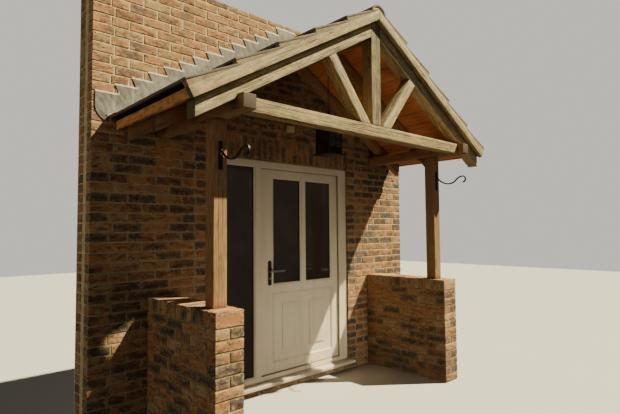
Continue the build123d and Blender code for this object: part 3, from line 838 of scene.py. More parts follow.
def metal_material(name, shade, metallic, rough, hammered=0.0, dust=0.15):
    """Ironwork or door furniture, brushed or hammered, with dust in its hollows."""
    metal = Finish(name)
    weather = metal.weather(2.0)
    fine = metal.speckle(metal.where, 1.0, 3.0, 0.6, (300.0, 300.0, 60.0))
    metal.base = metal.blend(weather["Blotches"].span(0.35, 0.7), shade, toned(shade, 1.35))
    metal.lay(weather["Grit"].span(0.5, 0.7), dust, IRON_DUST)
    metal.shader.inputs["Metallic"].default_value = metallic
    gloss = fine.span(0.3, 0.7, rough, min(1.0, rough + 0.18))
    beaten = metal.field(
        "ShaderNodeTexVoronoi", {"Vector": metal.where, "Scale": 130.0}, feature="SMOOTH_F1"
    )
    return metal.done(gloss, fine * 0.1 + beaten * hammered, 0.4, 0.001)


def material(name):
    """A finish by its plain name, made the first time that it is asked for."""
    if name not in FINISHES:
        brick, oak, roof = settings("brickwork"), settings("oak"), settings("roof")
        door, metal = settings("door"), settings("metal")
        maker, *values = {
            "brick": (brick_material, brick),
            "mortar": (mortar_material, "porch mortar", brick.mortar),
            "old mortar": (mortar_material, "old mortar", brick.old_mortar),
            "verge mortar": (mortar_material, "verge mortar", brick.verge),
            "plaster": (plaster_material, brick),
            "weathered oak": (oak_material, "weathered oak", oak.weathered, oak.silver, 0.66, 2.6),
            "cracked oak": (
                oak_material, "cracked oak", oak.drab, oak.drab, 0.8, 4.2, 0.006, 0.70
            ),
            "bleached oak": (oak_material, "bleached oak", oak.pale, oak.bleached, 0.66, 2.6),
            "sheltered oak": (oak_material, "sheltered oak", oak.sheltered, oak.silver, 0.18, 0.6),
            "boards": (oak_material, "soffit boards", oak.boards, oak.silver, 0.04, 0.3, 0.009),
            "fascia": (oak_material, "fascia oak", oak.fascia, oak.silver, 0.30, 0.8, 0.008, 0.85),
            "tile": (tile_material, roof),
            "lead": (lead_material, roof),
            "cream": (plastic_material, "cream plastic", door.cream),
            "sill": (plastic_material, "sill plastic", door.sill, 0.4, 0.3),
            "beige": (plastic_material, "beige plastic", metal.beige, 0.5, 0.3),
            "rubber": (rubber_material,),
            "door glass": (glass_material, "door glass", door.glass),
            "lantern glass": (glass_material, "lantern glass", (0.35, 0.33, 0.28), 0.06),
            "iron": (metal_material, "painted iron", metal.iron, 0.35, 0.42, 0.6),
            "bronze": (metal_material, "bronze plate", metal.bronze, 0.85, 0.36),
            "silver": (metal_material, "satin silver", metal.silver, 1.0, 0.22, 0.0, 0.05),
        }[name]
        FINISHES[name] = maker(*values)
    return FINISHES[name]


# Brickwork


def cuts(low, high, joint_at, module, joint):
    """Brick spans of one course between two ends, with joints on a fixed grid."""
    marks = [low - joint / 2]
    index = math.floor((low - joint_at) / module)
    while joint_at + index * module <= high - SLIVER:
        if joint_at + index * module > low + SLIVER:
            marks.append(joint_at + index * module)
        index += 1
    marks.append(high + joint / 2)
    if len(marks) > 2 and marks[1] - marks[0] < SHORTEST_BRICK:
        marks[1] = (marks[0] + marks[2]) / 2
    if len(marks) > 2 and marks[-1] - marks[-2] < SHORTEST_BRICK:
        marks[-2] = (marks[-1] + marks[-3]) / 2
    return [(a + joint / 2, b - joint / 2) for a, b in zip(marks, marks[1:])]


def house_wall():
    """The wall round the door: bricks in stretcher bond, a soldier course, mortar and plaster."""
    kit = settings("brickwork")
    rng = generator(1)
    heap, soldiers, inner_leaf = (Heap(rng, WALL_ARRIS, kit.unevenness) for _ in range(3))
    module, course = kit.length + kit.joint, kit.height + kit.joint
    joint_at = 4.5 * module
    left, right, top = WALL_LOW.x, WALL_HIGH.x, WALL_HIGH.z
    inside, back = FACE + kit.depth, ROOM - SKIM + HAIR
    soldier_half = SOLDIERS / 2 * course
    z = DOOR_HEAD - math.floor(DOOR_HEAD / course) * course
    row = 0
    while z < top - 0.02:
        high = min(z + kit.height, top)
        offset = joint_at + (row % 2) * module / 2
        stretches = [(left, right)]
        if z < DOOR_HEAD - HAIR:
            stretches = [(left, -DOOR_HALF), (DOOR_HALF, right)]
        elif z < DOOR_HEAD + 3 * course - 0.01:
            opening = soldier_half - kit.joint / 2
            stretches = [(left, -opening), (opening, right)]
        for low_x, high_x in stretches:
            for a, b in cuts(low_x, high_x, offset, module, kit.joint):
                a, b = max(a, left), min(b, right)
                shift = rng.uniform(-0.001, 0.0006)
                tone = rng.random()
                # Darker tones below the door head and under the roof are painted shade; bricks in
                # the sun keep paler tones.
                if z < DOOR_HEAD:
                    tone = 0.78 * tone ** 1.8
                elif z + abs(a + b) / 2 * SLOPE < ROOF_APEX:
                    tone = 0.32 * tone ** 1.2
                else:
                    tone = 0.16 + 0.64 * tone
                heap.lay((a, FACE - shift, z), (b, inside, high), LAID, (7, 1, 2), tone=tone)
        ends = [(left, left + kit.length), (right - kit.length, right)]
        for a, b in ends if high < top else cuts(left, right, offset, module, kit.joint):
            inner_leaf.lay((a, back - kit.depth, z), (b, back, high), LAID, (5, 1, 2))
        z += course
        row += 1
    for index in range(SOLDIERS):
        a = -soldier_half + kit.joint / 2 + index * course
        # Dark tones for the soldiers: painted shade under the roof.
        soldiers.lay(
            (a, FACE + 0.0005, DOOR_HEAD), (a + kit.height, inside, DOOR_HEAD + kit.length),
            UPRIGHT, (2, 1, 7), tone=0.38 * rng.random() ** 1.2,
        )
    for a, b in cuts(-DOOR_HALF, DOOR_HALF, joint_at, module, kit.joint):
        heap.lay(
            (a, FACE + HAIR, 0.002), (b, inside, DOOR_FOOT - kit.joint / 2), LAID, (7, 1, 2)
        )
    walls = ("house_wall_left", "house_wall_right", "house_wall_over_door", "sill_bricks")
    piece("house_wall_bricks", heap, "porch", "brick", walls)
    piece("soldier_course", soldiers, "porch", "brick")
    piece("house_wall_inner_leaf", inner_leaf, "porch", "brick")

    def outline(inset):
        """The wall round its doorway, drawn in by this much."""
        jamb, head = DOOR_HALF + inset, DOOR_HEAD + inset
        return [
            (left + inset, HAIR), (-jamb, HAIR), (-jamb, head), (jamb, head), (jamb, HAIR),
            (right - inset, HAIR), (right - inset, top - inset), (left + inset, top - inset),
        ]

    struck = FACE + kit.recess
    bed = slab(outline(kit.recess + HAIR), struck, inside, 0.06)
    # Painted shade on the mortar: full under the roof above the door head, and 0.65 on the wall
    # below, fading out to the right where the sun falls.
    sooted = bed.verts.layers.float.new("sooted")
    for vert in bed.verts:
        if vert.co.y < struck + HAIR:
            vert.co.y += 0.0009 * noise.noise(vert.co * 14)
        under_roof = (ROOF_APEX - vert.co.z - abs(vert.co.x) * SLOPE) / 0.06
        over_head = (vert.co.z - DOOR_HEAD + 0.20) / 0.30
        low_down = min(1.0, (DOOR_HEAD + 0.20 - vert.co.z) / 0.20, (1.45 - vert.co.x) / 0.40)
        vert[sooted] = max(0.0, min(1.0, under_roof, over_head), 0.65 * low_down)
    piece("house_wall_mortar", bed, "porch", "mortar")
    sill = DOOR_HALF + HAIR
    sill_outline = [(-sill, HAIR), (sill, HAIR), (sill, DOOR_FOOT), (-sill, DOOR_FOOT)]
    sill_bed = slab(sill_outline, struck, ROOM - HAIR, 0.06)
    piece("sill_mortar", sill_bed, "porch", "mortar")
    filling = slab(outline(kit.recess + HAIR), inside, ROOM - SKIM, 0.09)
    piece("house_wall_filling", filling, "porch", "mortar")
    inner = slab(outline(HAIR), ROOM - SKIM, ROOM, 0.09)
    soften(inner, 0.003)
    for vert in inner.verts:
        if vert.co.y > ROOM - 0.0005:
            vert.co.y -= 0.001 * (0.5 + 0.5 * noise.noise(vert.co * 2.2))
    piece("room_side_plaster", inner, "porch", "plaster")


def dwarf_wall(side, end):
    """One low wall: alternate stretcher and header ends at the front, brick on edge on top."""
    kit = settings("brickwork")
    rng = generator(20 + side)
    low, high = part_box(f"dwarf_wall_{end}")
    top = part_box(f"coping_{end}")[1].z
    heap = Heap(rng, LOW_WALL_ARRIS, kit.unevenness)
    half_brick = (high.x - low.x - kit.joint) / 2
    course = kit.height + kit.joint
    for row in range(round((high.z - low.z) / course)):
        z = low.z + kit.joint + row * course
        start = low.y
        if row % 2 == 0:
            start = low.y + kit.depth + kit.joint
            heap.lay(
                (low.x, low.y, z), (high.x, low.y + kit.depth, z + kit.height),
                LAID, (7, 3, 2), tone=rng.random(),
            )
        for skin_x in (low.x, high.x - half_brick):
            y = start
            while y < high.y - 0.02:
                stop = min(y + kit.length, high.y)
                # These bricks get darker tones than the fronts: painted shade.
                heap.lay(
                    (skin_x, y, z), (skin_x + half_brick, stop, z + kit.height),
                    ENDWAYS, (3, 7, 2), tone=0.86 * rng.random() ** 1.5,
                )
                y += kit.length + kit.joint
    gap = (high.y - low.y - COPING_BRICKS * kit.height) / COPING_BRICKS
    for index in range(COPING_BRICKS):
        y = low.y + index * (kit.height + gap)
        heap.lay(
            (low.x, y, high.z + kit.joint), (high.x, y + kit.height, top), LAID, (7, 2, 3)
        )
    nodes = (f"dwarf_wall_{end}", f"coping_{end}")
    piece(f"dwarf_wall_bricks_{end}", heap, "porch", "brick", nodes)
    inset = kit.recess
    outline = [
        (low.x + inset, HAIR), (high.x - inset, HAIR),
        (high.x - inset, top - inset), (low.x + inset, top - inset),
    ]
    core = slab(outline, low.y + inset, high.y, 0.05)
    cut_loops(core, Y_AXIS, 0.05)
    for vert in core.verts:
        vert.co += Vector((1, 1, 0)) * 0.0008 * noise.noise(vert.co * 15)
    piece(f"dwarf_wall_mortar_{end}", core, "porch", "old mortar")


# Oak frame


def wobble(value, seed):
    return noise.noise(Vector((value, seed * 3.7, seed * 1.3)))


def timber(node, name, run, finish, seed, cracks=(), part=0, step=0.05):
    """Works one CAD solid into a sawn timber: worn arrises, slight waves and drying cracks.

    Each crack is (side, place across, begin, stop, width, depth), as shares of the timber but
    for the last two.
    """
    bm = clean_copies(node)[part]
    run = Vector(run).normalized()
    deep = Y_AXIS if abs(run.y) < 0.5 else X_AXIS
    across = deep.cross(run).normalized()
    soften(bm, settings("oak").arris)
    cut_loops(bm, run, step)
    centre = sum((vert.co for vert in bm.verts), Vector()) / len(bm.verts)

    def reach(axis):
        along = [vert.co.dot(axis) for vert in bm.verts]
        return min(along), max(along)

    run_low, run_high = reach(run)
    sides = {
        "front": (-deep, across, reach(across)), "low": (-across, deep, reach(deep)),
        "high": (across, deep, reach(deep)),
    }
    for facing, place, begin, stop, width, depth in cracks:
        normal, sideways, (low, high) = sides[facing]
        lip = width / 2
        for offset in (-lip - CRACK_MARGIN, -lip, 0, lip, lip + CRACK_MARGIN):
            cut_at(bm, sideways, low + (high - low) * place + offset)
    crack = bm.verts.layers.float.new("crack")
    for number, (facing, place, begin, stop, width, depth) in enumerate(cracks, seed):
        normal, sideways, (low, high) = sides[facing]
        surface = reach(normal)[1]
        for vert in bm.verts:
            off = vert.co.dot(sideways) - (low + (high - low) * place)
            if abs(off) > width / 2 + 0.004 or surface - vert.co.dot(normal) > 0.0008:
                continue
            along = (vert.co.dot(run) - run_low) / (run_high - run_low)
            opened = 0.0
            if begin < along < stop:
                middle = (along - begin) / (stop - begin)
                opened = min(1.0, 6 * middle, 6 * (1 - middle))
                opened *= 0.65 + 0.35 * wobble(along * 9, number)
            drift = CRACK_SWAY * wobble(vert.co.dot(run) * 3, number + 5)
            if abs(off) < width * 0.2:
                vert.co -= normal * depth * opened
                vert[crack] = min(1.0, opened * 1.6)
            elif abs(off) < width * 0.6:
                drift -= off * (1 - max(opened, 0.12))
            vert.co += sideways * drift
    for vert in bm.verts:
        swell = 0.5 + 0.5 * noise.noise(vert.co * 4.5 + Vector((seed, 0, 0)))
        vert.co += (centre - vert.co).normalized() * OAK_SWELL * swell
    grain = bm.verts.layers.float_vector.new("grain")
    shift = Vector(generator(300 + seed).uniform(-9, 9, 3).tolist())
    for vert in bm.verts:
        local = vert.co - centre
        vert[grain] = Vector((
            local.dot(run) + shift.x, local.dot(across) + 0.02 * shift.y / 9,
            local.dot(deep) + 0.03 * shift.z / 9,
        ))
    end = bm.faces.layers.float.new("end_grain")
    for face in bm.faces:
        face[end] = float(abs(face.normal.dot(run)) > 0.6)
    piece(name, bm, "porch", finish, (node,))


def slope_run(side):
    return Vector((side * FALL, 0, -RISE))


def oak_frame():
    """Posts, plates, knees, truss, rafters and ridge board."""
    for side, end, part in SIDES:
        timber(f"post_{end}", f"oak_post_{end}", Z_AXIS, "sheltered oak", 10 + side, (
            ("front", 0.38, 0.02, 0.55, 0.004, 0.010), ("front", 0.66, 0.35, 0.97, 0.003, 0.008),
            ("low" if side > 0 else "high", 0.5, 0.1, 0.8, 0.004, 0.009),
        ))
        timber(f"side_plate_{end}", f"oak_plate_{end}", Y_AXIS, "sheltered oak", 14 + side, (
            ("low", 0.45, 0.05, 0.9, 0.003, 0.008),
        ))
    for side, end, part in SIDES:
        timber("knee_braces", f"oak_knee_{end}", (0, 1, 1), "sheltered oak", 18 + len(end),
               part=part, step=0.02)
    timber("tie_beam", "oak_tie_beam", X_AXIS, "weathered oak", 21, (
        ("front", 0.36, 0.02, 0.34, 0.0028, 0.006), ("front", 0.62, 0.22, 0.63, 0.003, 0.008),
        ("front", 0.30, 0.55, 0.98, 0.003, 0.007), ("front", 0.80, 0.70, 0.92, 0.002, 0.005),
    ))
    timber("king_post", "oak_king_post", Z_AXIS, "cracked oak", 22, (
        ("front", 0.22, 0.04, 0.80, 0.004, 0.010), ("front", 0.42, 0.10, 0.96, 0.005, 0.014),
        ("front", 0.60, 0.02, 0.90, 0.006, 0.016), ("front", 0.78, 0.15, 0.70, 0.004, 0.010),
        ("low", 0.5, 0.05, 0.85, 0.004, 0.010), ("high", 0.4, 0.1, 0.9, 0.004, 0.010),
    ), step=0.025)
    for side, end, part in SIDES:
        run = (side * math.cos(STRUT_RISE), 0, math.sin(STRUT_RISE))
        timber("struts", f"oak_strut_{end}", run, "bleached oak", 24 + side, (
            ("front", 0.45, 0.1, 0.75, 0.0025, 0.006),
        ), part)
    for side, end, part in SIDES:
        name = f"front_rafter_{end}"
        timber(name, f"oak_{name}", slope_run(side), "bleached oak", 30 + side, (
            ("front", 0.30, 0.05, 0.5, 0.0025, 0.006), ("front", 0.66, 0.40, 0.95, 0.003, 0.007),
        ))
    for node, seed in (("middle_rafters", 34), ("wall_rafters", 36)):
        for side, end, part in SIDES:
            timber(node, f"oak_{node[:-1]}_{end}", slope_run(side), "sheltered oak", seed + part,
                   part=part)
    timber("ridge_board", "oak_ridge_board", Y_AXIS, "sheltered oak", 39)


def soffit_planks(side, end):
    """The boards under one slope, as planks side by side."""
    node = f"soffit_boards_{end}"
    low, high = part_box(node)
    foot = (max(abs(low.x), abs(high.x)) - BOARD * RISE) / FALL
    width = foot / PLANKS
    rng = generator(60 + side)
    parts = []
    for index in range(PLANKS):
        half = ((width - PLANK_GAP) / 2, (high.y - low.y) / 2, BOARD / 2)
        bm = block_form(half, PLANK_ARRIS, (2, 12, 1))
        shift = rng.uniform(-9, 9, 3)
        grain = bm.verts.layers.float_vector.new("grain")
        bm.verts.layers.float.new("crack")
        end_grain = bm.faces.layers.float.new("end_grain")
        for vert in bm.verts:
            x, y, z = vert.co
            vert[grain] = Vector((y + shift[0], x + shift[1], z + shift[2]))
            along, lift = (index + 0.5) * width + x, BOARD / 2 + z
            vert.co = (
                side * (along * FALL + lift * RISE), (low.y + high.y) / 2 + y,
                ROOF_APEX - along * RISE + lift * FALL,
            )
        bmesh.ops.recalc_face_normals(bm, faces=bm.faces[:])
        for face in bm.faces:
            face[end_grain] = float(abs(face.normal.y) > 0.7)
        parts.append(bm)
    piece(f"{node}_planks", parts, "porch", "boards", (node,))


def oak_boards():
    """Soffit boards in planks, bargeboards and fascias."""
    for side, end, part in SIDES:
        name = f"bargeboard_{end}"
        timber(name, f"oak_{name}", slope_run(side), "bleached oak", 45 + side, (
            ("front", 0.55, 0.3, 0.62, 0.002, 0.005),
        ))
    for side, end, part in SIDES:
        timber("fascias", f"oak_fascia_{end}", Y_AXIS, "fascia", 49 + side, part=part)
    for side, end, part in SIDES:
        soffit_planks(side, end)


# Roof


def roof_place(side):
    """Turns (distance down the slope, depth, lift) into a place on the roof."""
    up = Vector((side * RISE, 0, FALL))
    place = Matrix((slope_run(side), Y_AXIS, up)).transposed().to_4x4()
    place.translation = (0, 0, ROOF_APEX)
    return place


def roof_tiles():
    """Flat interlocking tiles in broken bond, their tails lifted over the course below."""
    kit = settings("roof")
    for side, end, part in SIDES:
        node = f"roof_tiles_{end}"
        low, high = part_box(node)
        rng = generator(80 + side)
        heap = Heap(rng, TILE_ARRIS, TILE_UNEVENNESS)
        edge = max(abs(low.x), abs(high.x))
        gauge = (edge - (COVER + TILE_TAIL) * RISE) / FALL / TILE_COURSES
        fall = (TILE_TAIL - TILE_HEAD) / gauge
        tilt = math.atan2(TILE_TAIL - TILE_HEAD, gauge)
        length = gauge + kit.lap
        lift = COVER + TILE_TAIL - kit.thickness / 2 - math.tan(tilt) * length / 2
        place = roof_place(side)
        bed = []
        for course in range(TILE_COURSES):
            start, stop = low.y, low.y + kit.cover_width * (0.5 if course % 2 else 1.0)
            while start < high.y - 0.01:
                stop = min(high.y, stop)
                if high.y - stop < NARROWEST_TILE:
                    stop = high.y
                centre = Vector(((course + 1) * gauge - length / 2, (start + stop) / 2, lift))
                lean = Matrix.Rotation(-tilt + rng.normal() * 0.001, 4, "Y")
                heap.lay(
                    (-length / 2, start + TILE_GAP - centre.y, -kit.thickness / 2),
                    (length / 2, stop - TILE_GAP - centre.y, kit.thickness / 2),
                    LAID, (5, 4, 1), place @ Matrix.Translation(centre) @ lean,
                )
                start, stop = stop, stop + kit.cover_width
            first_at, last_at = course * gauge + 0.004, (course + 1) * gauge - 0.004
            rise = TILE_TAIL - kit.thickness - TILE_LIP
            head_lift, tail_lift = (
                max(least, rise - fall * ((course + 1) * gauge - at))
                for at, least in ((first_at, 0.001), (last_at, 0.002))
            )
            section = (
                (first_at, 0.0005), (last_at, 0.0005), (last_at, tail_lift), (first_at, head_lift)
            )
            strip = skin([
                [place @ Vector((along, y, COVER + over)) for along, over in section]
                for y in (low.y + 0.0025, low.y + 0.05)
            ])
            cut_loops(strip, slope_run(side), 0.02)
            for vert in strip.verts:
                vert.co.y += 0.0015 * noise.noise(vert.co * 60)
            bed.append(strip)
        laid = piece(f"{node}_laid", heap, "porch", "tile", (node,))
        if side < 0:
            laid.data.flip_normals()
        piece(f"verge_mortar_{end}", bed, "porch", "verge mortar")


def ridge():
    """Half round ridge tiles with mortar between and under them."""
    low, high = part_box("ridge_tiles")
    half, rise = high.x, high.z - low.z
    radius = (half * half + rise * rise) / (2 * rise)
    reach = math.asin(half / radius)

    def arc(around, y, reach, steps, uneven, grid):
        """Points over the ridge from left to right, a little uneven."""
        points = []
        for step in range(steps + 1):
            angle = -reach + 2 * reach * step / steps
            spot = Vector((angle * grid[0], y * grid[1], grid[2]))
            out = around + uneven * noise.noise(spot)
            points.append((math.sin(angle) * out, y, high.z - radius + math.cos(angle) * out))
        return points

    length = (high.y - low.y - RIDGE_JOINT * (RIDGE_TILES - 1)) / RIDGE_TILES
    tiles = []
    for index in range(RIDGE_TILES):
        rows = []
        for row in range(13):
            y = low.y + index * (length + RIDGE_JOINT) + length * row / 12
            outer, inner = (
                arc(around - 0.0016, y, reach, 16, 0.001, (4, 9, index))
                for around in (radius, radius - RIDGE_SHELL)
            )
            rows.append(outer + inner[::-1])
        tiles.append(skin(rows))
    laid = piece("ridge_tiles_laid", tiles, "porch", "tile", ("ridge_tiles",)).data
    count = len(laid.vertices)
    places = np.zeros(count * 3)
    laid.vertices.foreach_get("co", places)
    store(laid, "tone", "FLOAT", np.full(count, 0.6))
    store(laid, "rim", "FLOAT", np.ones(count))
    store(laid, "spot", "FLOAT_VECTOR", places)
    under = radius - RIDGE_SHELL + 0.002
    toe = math.sin(reach) * under * 0.5
    piece("ridge_mortar", skin([
        arc(under, y, reach * 0.98, 10, 0.0012, (7, 20, 3))
        + [(toe, y, low.z + 0.014), (-toe, y, low.z + 0.014)]
        for y in np.linspace(low.y + 0.008, high.y, 30)
    ]), "porch", "mortar")


def flashings():
    """Stepped lead in lapped pieces, dressed a little wavy over the brickwork and the tiles."""
    kit = settings("brickwork")
    stride = (kit.height + kit.joint) / SLOPE
    for side, end, _ in SIDES:
        node = f"flashing_{end}"
        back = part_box(node)[1].y
        for part in clean_copies(node):
            cut_loops(part, X_AXIS, 0.03)
            cut_loops(part, Z_AXIS, 0.03)
            for lap in range(LEAD_LAPS):
                for margin in (0.0, LEAD_MARGIN):
                    cut_at(part, X_AXIS, (LEAD_CORNER - lap * stride - margin) * side)
            part.normal_update()
            tops = []
            for face in part.faces:
                if face.normal.z > 0.95:
                    xs = [vert.co.x for vert in face.verts]
                    tops.append((min(xs) - 1e-4, max(xs) + 1e-4, face.calc_center_median().z))
            for level in {round(top[2], 4) for top in tops}:
                cut_at(part, Z_AXIS, level - LEAD_HIGHLIGHT)
                cut_at(part, Z_AXIS, level - LEAD_HIGHLIGHT - 0.003)
            # Points in a band under each top edge, for the painted highlight.
            rim = part.verts.layers.float.new("rim")
            for vert in part.verts:
                x, y, z = vert.co
                vert[rim] = float(any(
                    a < x < b and -1e-4 < top - z < LEAD_HIGHLIGHT + 4e-4 for a, b, top in tops
                ))
                through = ((LEAD_CORNER - abs(x)) / stride) % 1.0
                if y < back - 0.0015:
                    wave = noise.noise(Vector((x * 11, 0, z * 5)))
                    vert.co.y -= 0.0016 * (0.5 + 0.5 * wave) + 0.0026 * through
            piece(f"lead_{node}", part, "porch", "lead", (node,))


# Door set


def moulded(node, name, body, finish, arris, segments=2):
    """A CAD node with its edges rounded, as moulded or cast pieces have."""
    parts = clean_copies(node)
    for part in parts:
        soften(part, arris, segments)
    piece(name, parts, body, finish, (node,))


def pane_trim(openings, body, name, faces):
    """Gaskets where the beads meet the panes, and the fine seams of the beads in the frame."""
    kit = settings("door")
    gasket, bead = kit.gasket, kit.bead
    rubber = []
    for left, right, low, high, filled in openings:
        for surface, glass, outward in faces:
            if filled:
                rubber.append(mitred_frame(left, right, low, high, glass, outward, (
                    (-0.0010, 0.0), (-0.0010, 0.0016), (0.0004, 0.0022), (gasket, 0.0012),
                    (gasket, 0.0),
                )))
            edges = (left - bead, right + bead, low - bead, high + bead)
            rubber.append(mitred_frame(*edges, surface, outward, (
                (-0.0009, -0.0004), (-0.0009, 0.00015), (0.0, 0.00015), (0.0, -0.0004),
            )))
    piece(f"{name}_gaskets", rubber, body, "rubber")


def door_frame():
    """Frame, sill, sidelight and the seal that the leaf closes on."""
    arris = settings("door").arris
    moulded("door_frame", "cream_door_frame", "porch", "cream", arris, 3)
    moulded("door_sill", "pale_door_sill", "porch", "sill", 0.004, 3)
    moulded("sidelight_glass", "sidelight_pane", "porch", "door glass", 0.0008, 1)
    low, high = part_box("sidelight_glass")
    front, back = (corner.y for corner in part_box("door_frame"))
    seat = GLASS_SEAT
    opening = (low.x + seat, high.x - seat, low.z + seat, high.z - seat, True)
    pane_trim([opening], "porch", "sidelight", ((front, low.y, 1), (back, high.y, -1)))
    low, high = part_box("door_leaf")
    cover = LIP_COVER - 0.0045
    seal = mitred_frame(
        low.x + cover, high.x - cover, low.z + cover, high.z - cover, low.y - 0.0052, -1,
        ((0.0, 0.0), (0.0, 0.0032), (0.0025, 0.0044), (0.0050, 0.0030), (0.0050, 0.0)),
    )
    piece("leaf_seal", seal, "porch", "rubber")


def door_leaf():
    """The leaf with its panes, beads and gaskets."""
    arris = settings("door").arris * 0.8
    moulded("door_leaf", "cream_door_leaf", "door", "cream", arris)
    moulded("leaf_panes", "leaf_glass", "door", "door glass", 0.0008, 1)
    front, back = (corner.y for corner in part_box("door_leaf"))
    glass_front, glass_back = (corner.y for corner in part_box("leaf_panes"))
    seat = GLASS_SEAT
    openings = []
    for part in clean_copies("leaf_panes"):
        xs = [vert.co.x for vert in part.verts]
        zs = [vert.co.z for vert in part.verts]
        openings.append((min(xs) + seat, max(xs) - seat, min(zs) + seat, max(zs) - seat, True))
    openings.append((openings[0][0], openings[-1][1], *INSERT_LEVELS, False))
    pane_trim(openings, "door", "leaf", ((front, glass_front, 1), (back, glass_back, -1)))


def door_furniture():
    """Handle plates with screws and a lock, levers and hinges."""
    moulded("handle_plates", "bronze_handle_plates", "door", "bronze", 0.0025, 3)
    moulded("door_levers", "silver_door_levers", "handle", "silver", 0.002, 3)
    moulded("frame_hinges", "frame_hinge_leaves", "porch", "silver", 0.001)
    moulded("leaf_hinges", "leaf_hinge_leaves", "door", "silver", 0.001)
    low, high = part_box("handle_plates")
    x, lock = (low.x + high.x) / 2, low.z + 0.068
    screws, locks = [], []
    for face, outward in ((low.y, 1), (high.y, -1)):
        out = -outward * Y_AXIS
        for z in (low.z + 0.020, high.z - 0.020):
            head = ((-0.002, 0.0042), (0.0004, 0.0042), (0.0010, 0.0032))
            screws.append(turned(head, (x, face, z), out))
        barrel = (
            (-0.004, 0.0085), (0.0035, 0.0085), (0.0045, 0.0075), (0.0045, 0.0062),
            (0.0040, 0.0060),
        )
        locks.append(turned(barrel, (x, face, lock), out, 28))
        tail = ((-0.004, 0.0050), (0.0032, 0.0050), (0.0040, 0.0040))
        locks.append(turned(tail, (x, face, lock - 0.013), out))
        slit = (0.0009, 0.0008, 0.0042)
        screws.append(block_form(slit, 0.0003, (1, 1, 2), (x, face - outward * 0.0045, lock)))
    piece("plate_screws", screws, "door", "bronze")
    piece("lock_cylinders", locks, "door", "silver")


# Ironwork


def lantern():
    """The cage with rims and bars, a lamp inside and a chain above."""
    kit = settings("metal")
    low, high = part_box("lantern")
    cx, cy = (low.x + high.x) / 2, (low.y + high.y) / 2
    glass_low, glass_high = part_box("lantern_glass")
    (cage,) = clean_copies("lantern")
    roof_top = glass_high.z + LANTERN_PLATE + LANTERN_ROOF
    away = [face for face in cage.faces if face.calc_center_median().z > roof_top + 0.001]
    bmesh.ops.delete(cage, geom=away, context="FACES")
    loose = [vert for vert in cage.verts if not vert.link_faces]
    bmesh.ops.delete(cage, geom=loose, context="VERTS")
    holes = [edge for edge in cage.edges if len(edge.link_faces) == 1]
    bmesh.ops.holes_fill(cage, edges=holes, sides=0)
    flatten(cage)
    soften(cage, 0.0016)
    parts = [cage]
    middle = (glass_low.z + glass_high.z) / 2
    half = (glass_high.x - glass_low.x) / 2
    for quarter in range(4):
        turn = Matrix.Translation((cx, cy, 0)) @ Matrix.Rotation(math.pi / 2 * quarter, 4, "Z")
        for wide, foot, top in (
            (0.003, glass_low.z, glass_high.z), (half, middle - 0.003, middle + 0.003)
        ):
            bar = (wide, 0.002, (top - foot) / 2)
            centre = (0, -half - 0.001, (foot + top) / 2)
            parts.append(block_form(bar, 0.001, (2, 1, 2), centre, turn))
    knob = ((0, 0.014), (0.006, 0.016), (0.012, 0.010), (0.020, 0.012), (0.028, 0.004))
    parts.append(turned(knob, (cx, cy, roof_top - 0.002)))
    socket = ((0, 0.022), (0.040, 0.022), (0.044, 0.018))
    parts.append(turned(socket, (cx, cy, glass_low.z - 0.001)))
    bottom = roof_top + 0.022
    count = math.ceil((high.z - bottom) / (kit.link - kit.wire * 2))
    spacing = (high.z - bottom) / count
    for index in range(count):
        centre = (cx, cy, bottom + (index + 0.5) * spacing)
        across = X_AXIS if index % 2 else Y_AXIS
        parts.append(chain_link(centre, across, spacing + kit.wire, kit.link * 0.5, kit.wire))
    piece("iron_lantern", parts, "porch", "iron", ("lantern",))
    moulded("lantern_glass", "lantern_panes", "porch", "lantern glass", 0.0006, 1)
    bulb = (
        (0.040, 0.013), (0.055, 0.014), (0.075, 0.024), (0.100, 0.030), (0.122, 0.028),
        (0.138, 0.018), (0.146, 0.006),
    )
    lamp = turned(bulb, (cx, cy, glass_low.z), count=24)
    piece("lantern_lamp", lamp, "porch", "beige")


def brackets():
    """Basket brackets with bolted straps."""
    parts, bolts = clean_copies("basket_brackets"), []
    for part in parts:
        soften(part, 0.0008, 1, 60)
        xs, ys, zs = zip(*(vert.co for vert in part.verts))
        for z in (min(zs) + 0.012, max(zs) - 0.018):
            head = ((0, 0.0075), (0.0045, 0.0075), (0.006, 0.006))
            centre = ((min(xs) + max(xs)) / 2, max(ys) - 0.0055, z)
            bolts.append(turned(head, centre, -Y_AXIS, 6))
    piece("iron_brackets", parts + bolts, "porch", "iron", ("basket_brackets",))


def wall_box():
    """Small box with its lid line."""
    moulded("wall_box", "beige_wall_box", "porch", "beige", 0.003, 3)
    low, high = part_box("wall_box")
    seam = mitred_frame(
        low.x - 0.0004, high.x + 0.0004, low.z - 0.0004, high.z + 0.0004, high.y - 0.014, 1,
        ((0.0, 0.0), (0.0, 0.0012), (0.002, 0.0012), (0.002, 0.0)),
    )
    piece("wall_box_seam", seam, "porch", "rubber")


def hidden_parts():
    """Battens, which keep their CAD shape."""
    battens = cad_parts["tile_battens"].data
    battens.materials.clear()
    battens.materials.append(material("sheltered oak"))


# Stage


def stand(name, data, place, ahead):
    """Puts a light into the scene, shining along a direction."""
    thing = bpy.data.objects.new(name, data)
    thing.location = place
    thing.rotation_euler = Vector(ahead).to_track_quat("-Z", "Y").to_euler()
    bpy.context.scene.collection.objects.link(thing)
    return thing


